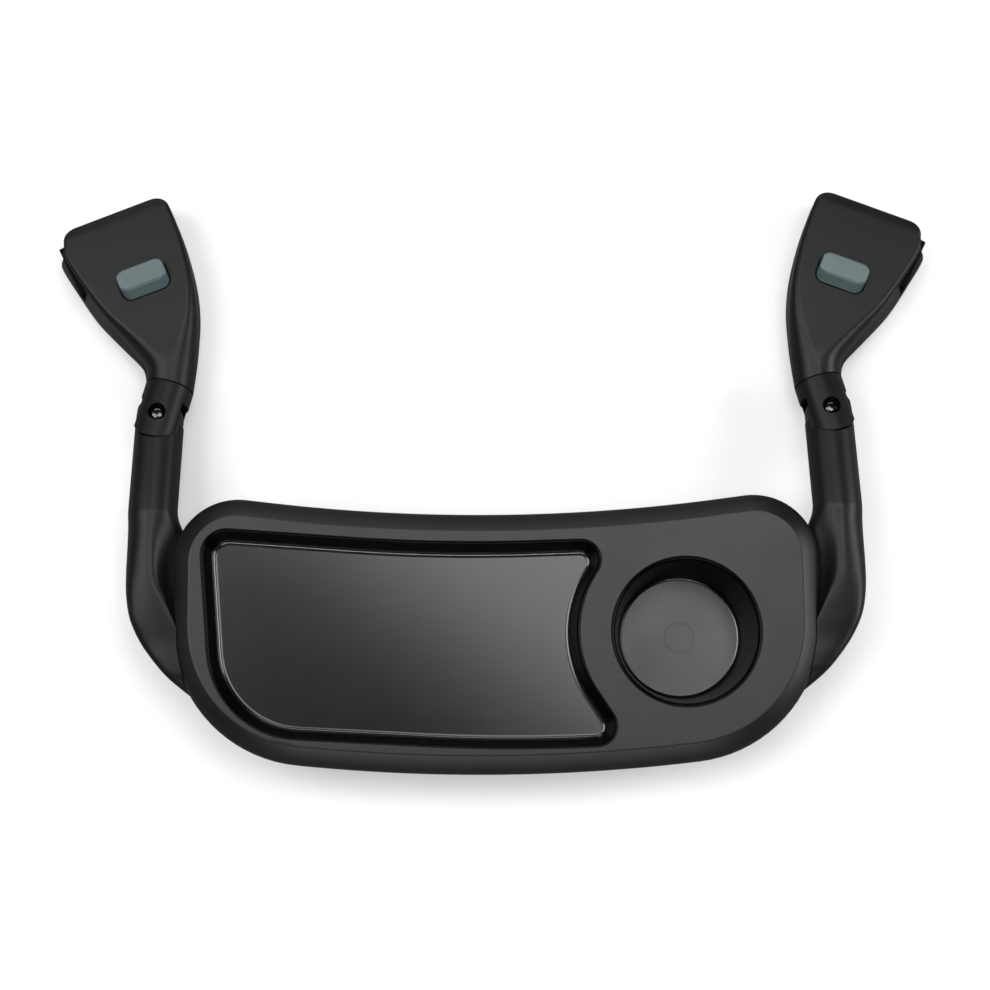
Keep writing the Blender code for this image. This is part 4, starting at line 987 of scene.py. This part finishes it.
def buttonRing(grow, frontIn, z):
    half, deep = button["length"] / 2, button["width"] / 2
    outline = roundedOutline([(-half, -deep, button["corner"]), (half, -deep, button["corner"]),
                              (half, deep, button["corner"]), (-half, deep, button["corner"])])
    back = deep + grow
    squeeze = 1 - frontIn / (2 * back)
    return [Vector((point.x, back - (back - point.y) * squeeze, z))
            for point in offsetOutline(outline, grow)]


def socketMatrix():
    return Matrix.Translation(headPoint(socket["place"])) @ Matrix.Rotation(socket["turn"], 4, 'Z')


def headForm():
    # the hollow head with the neck's bore and the socket's window
    rows = headRows(head["alongSteps"])
    form = sweepRings("head", [headSection(row, 0, head["cornerSteps"]) for row in rows])
    cut(form, headHollow())
    gap, reach, seam = fit["gap"], fit["reach"], knuckle["seamReach"]
    cut(form, rod(knuckle["spigotRadius"] + gap, seam - reach, seam + knuckle["spigotLength"] + gap, 64,
                  alongCollar()))
    half = socket["length"] / 2
    window = block((-socket["depth"], socket["proud"] + head["outerFlare"] + reach), (-half, half),
                   (socket["bottom"], socket["top"]), socketMatrix())
    return cut(form, window)


def makeHead():
    form = headForm()
    far, gap = head["reach"] + head["width"], fit["gap"]
    upper = duplicate(form, "rightHeadCover")
    cut(upper, block((-far, far), (-far, far), (-far, gap / 2), splitMatrix()))
    lower = cut(form, block((-far, far), (-far, far), (-gap / 2, far), splitMatrix()))
    lower.name = "rightHeadBase"
    cut(upper, sweepRings("hole", [buttonRing(button["clearance"], 0, z)
                                   for z in (-head["height"] / 2, button["height"])], buttonMatrix()))
    for name in ("neck_screw", "end_screw", "side_screw"):
        low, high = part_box(f"right_{name}")
        middle = (low + high) / 2 - place
        cut(lower, rod(screw["headRadius"] + gap, -fit["reach"], screw["recess"], 32,
                       upright(middle.x, middle.y)))
    addPair(upper, "head_cover", "head", "head")
    addPair(lower, "head_base", "head", "head")
    print("heads done")


def buttonBody():
    # the top is pulled back from the sloping front, and the flange stays inside the head
    flangeTop, edge = -head["wall"] - 2 * fit["gap"], button["edge"]
    slope = button["slope"] / button["height"]
    rings = [buttonRing(button["flange"], 0, flangeTop - button["flangeThick"]),
             buttonRing(button["flange"], 0, flangeTop), buttonRing(0, 0, flangeTop),
             buttonRing(0, 0, -head["wall"] / 4), buttonRing(0, 0, 0)]
    for angle in [0] + quarter(6):
        z = button["height"] - edge * (1 - math.sin(angle))
        rings.append(buttonRing(-edge * (1 - math.cos(angle)), z * slope, z))
    return sweepRings("rightReleaseButton", rings, buttonMatrix())


def buttonStem():
    # it reaches down to the hook, which its slanting foot pushes
    spot = buttonMatrix() @ Vector((button["stemPlace"] * button["length"], 0, 0))
    top = spot.z - head["wall"] - 2 * fit["gap"] - button["flangeThick"] / 2
    spot.z = 0
    tip, half = latch["bottom"] + latch["thick"] + fit["gap"], button["stemThick"] / 2
    side = [(-half, tip + button["stemThick"]), (half, tip), (half, top), (-half, top)]
    return sweepRings("stem", [[Vector((x, y, z)) for x, z in side]
                               for y in (-button["stemWidth"] / 2, button["stemWidth"] / 2)],
                      Matrix.Translation(spot) @ Matrix.Rotation(socket["turn"], 4, 'Z'))


def makeButton():
    shape = fuse(buttonBody(), buttonStem())
    inside = buttonMatrix().translation.z - head["wall"] / 3
    # the flange and stem below the head's surface get the socket's black as painted shade, for the shadow
    # in the gap round the button
    paintShade(shape, "button", lambda centre: centre.z < inside)
    addPair(shape, "release_button", "button", None)
    print("buttons done")


def makeSpring():
    # one section of the wire, run up in a screw; it is built at one length, though the spring shortens as
    # the button goes down
    for side in ("right", "left"):
        low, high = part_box(f"{side}_button_spring")
        pickNone()
        bpy.ops.mesh.primitive_circle_add(vertices=spring["wireSides"], radius=spring["wire"],
                                          fill_type='NOTHING')
        coil = bpy.context.object
        coil.name = f"{side}ButtonSpring"
        coil.data.transform(Matrix.Translation((spring["radius"], 0, spring["wire"]))
                            @ Matrix.Rotation(math.pi / 2, 4, 'X'))
        rise = high.z - low.z - 2 * spring["wire"]
        modify(coil, 'SCREW', angle=math.tau * spring["turns"], screw_offset=rise, iterations=1,
               steps=spring["turns"] * spring["stepsPerTurn"])
        editAll(coil)
        bpy.ops.mesh.fill_holes(sides=0)
        leaveEdit()
        faceOutward(coil)
        coil.data.transform(Matrix.Translation(((low.x + high.x) / 2, (low.y + high.y) / 2, low.z)))
        addPiece(coil, f"{side}_button_spring", f"{side}_head", "steel")
        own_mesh(coil)


def takeCopy(node, name):
    # the CAD piece's own form, merged, for the small boxy parts that are right as they are
    copied = duplicate(frame["nodes"][node], name)
    copied.parent = None
    for key in list(copied.keys()):
        del copied[key]
    editAll(copied)
    bpy.ops.mesh.remove_doubles(threshold=0.00001)
    leaveEdit()
    return copied


def makeSocketParts():
    # the liner's outer face is turned in a little, so that its far corner stands less proud of the flank
    liner, hook = [takeCopy(f"right_{node}", name) for node, name in
                   (("clip_socket", "rightClipSocket"), ("latch_hook", "rightLatchHook"))]
    for piece in (liner, hook):
        piece.data.transform(Matrix.Translation(-place))
    half, reach = socket["length"] / 2, fit["reach"]
    corner = socketMatrix() @ Matrix.Translation((socket["proud"], -half, 0))
    keepInside(liner, block((-socket["depth"] - 2 * reach, 0), (-reach, socket["length"] + reach),
                            (0, head["height"]), corner @ Matrix.Rotation(socket["trim"], 4, 'Z')))
    soften(liner, socket["edge"], 60, 3)
    soften(hook, latch["edge"], 40)
    addPair(liner, "clip_socket", "head", "socket")
    addPair(hook, "latch_hook", "latch", "socket")
    print("sockets done")


# Camera, light and floor

studio = {"cameraSpot": (-0.0036, -0.0819, 1.0658), "lens": 70.76,
          "turn": (math.radians(8.65), math.radians(-0.19), math.radians(-0.54)),
          "sensor": 36, "worldStrength": 0.04, "floorZ": -0.0003, "floorSize": 8.0, "floorGlow": 0.23,
          "floorRough": 0.9, "floorSpecular": 0.2, "floorShade": {"camera": 0.74, "other": 0.24},
          "lamps": (("overheadBox", (0.18, 0.26, 1.40), (0.05, 0.08, 0.0), (0.92, 0.62), 5.1),
                    ("wideBox", (-1.06, 0.10, 1.45), (0.0, 0.0, 0.0), (1.2, 1.3), 4.0),
                    ("backStrip", (-0.10, 1.35, 0.75), (0.0, 0.0, 0.02), (1.6, 0.24), 4.5),
                    ("frontStrip", (0.0, -1.30, 0.80), (0.0, 0.1, 0.02), (1.2, 0.11), 15.0),
                    ("rightBox", (1.30, 0.0, 0.60), (0.0, 0.0, 0.02), (1.1, 0.5), 6.5))}


def makeCamera():
    x, y, z = studio["cameraSpot"]
    bpy.ops.object.camera_add(location=(x, y + place.y, z))
    camera = bpy.context.object
    x, y, z = studio["turn"]
    camera.rotation_euler = (Matrix.Rotation(x, 3, 'X') @ Matrix.Rotation(y, 3, 'Y')
                             @ Matrix.Rotation(z, 3, 'Z')).to_euler()
    camera.data.sensor_width, camera.data.lens = studio["sensor"], studio["lens"]
    bpy.context.scene.camera = camera
    bpy.context.scene.view_settings.view_transform = 'Standard'


def makeLamps():
    for name, spot, aim, size, radiance in studio["lamps"]:
        bpy.ops.object.light_add(type='AREA', location=spot)
        lamp = bpy.context.object
        lamp.name = name
        lamp.data.shape = 'RECTANGLE'
        lamp.data.size, lamp.data.size_y = size
        lamp.data.energy = radiance * math.pi * size[0] * size[1]
        lamp.rotation_euler = (Vector(aim) - Vector(spot)).to_track_quat('-Z', 'Y').to_euler()


def makeWorld():
    # the camera sees it white, and it lights the scene only a little
    world = bpy.data.worlds.new("studioWorld")
    bpy.context.scene.world = world
    world.use_nodes = True
    tree = world.node_tree
    path = addNode(tree, 'ShaderNodeLightPath')
    strength = addNode(tree, 'ShaderNodeMix', [
        ("Factor", path.outputs["Is Camera Ray"]), ("A", studio["worldStrength"]), ("B", 1.0)])
    feed(tree, tree.nodes["Background"], [
        ("Color", (1, 1, 1, 1)), ("Strength", strength.outputs["Result"])])


def makeFloorMaterial():
    material = bpy.data.materials.new("paleFloor")
    material.use_nodes = True
    tree, shades = material.node_tree, studio["floorShade"]
    path = addNode(tree, 'ShaderNodeLightPath')
    seen = path.outputs["Is Camera Ray"]
    shade = addNode(tree, 'ShaderNodeMapRange', [
        ("Value", seen), ("To Min", shades["other"]), ("To Max", shades["camera"])])
    glow = mathNode(tree, 'MULTIPLY', seen, studio["floorGlow"])
    # the floor lets the camera look up through it
    side = addNode(tree, 'ShaderNodeNewGeometry')
    below = mathNode(tree, 'MULTIPLY', seen, side.outputs["Backfacing"])
    feed(tree, tree.nodes["Principled BSDF"], [
        ("Roughness", studio["floorRough"]), ("Specular IOR Level", studio["floorSpecular"]),
        ("Base Color", shade.outputs["Result"]), ("Emission Color", (1, 1, 1, 1)),
        ("Emission Strength", glow), ("Alpha", mathNode(tree, 'SUBTRACT', 1.0, below))])
    return material


def makeFloor():
    pickNone()
    bpy.ops.mesh.primitive_plane_add(size=studio["floorSize"], location=(0, 0, studio["floorZ"]))
    floor = bpy.context.object
    floor.name = "paleFloor"
    floor.data.materials.append(makeFloorMaterial())
    print("stage done")


makeCamera()
makeLamps()
makeWorld()
makeFloor()
makeTray()
makeArm()
makeCollar()
makePin()
makeHead()
makeButton()
makeSpring()
makeSocketParts()
placeScrews()
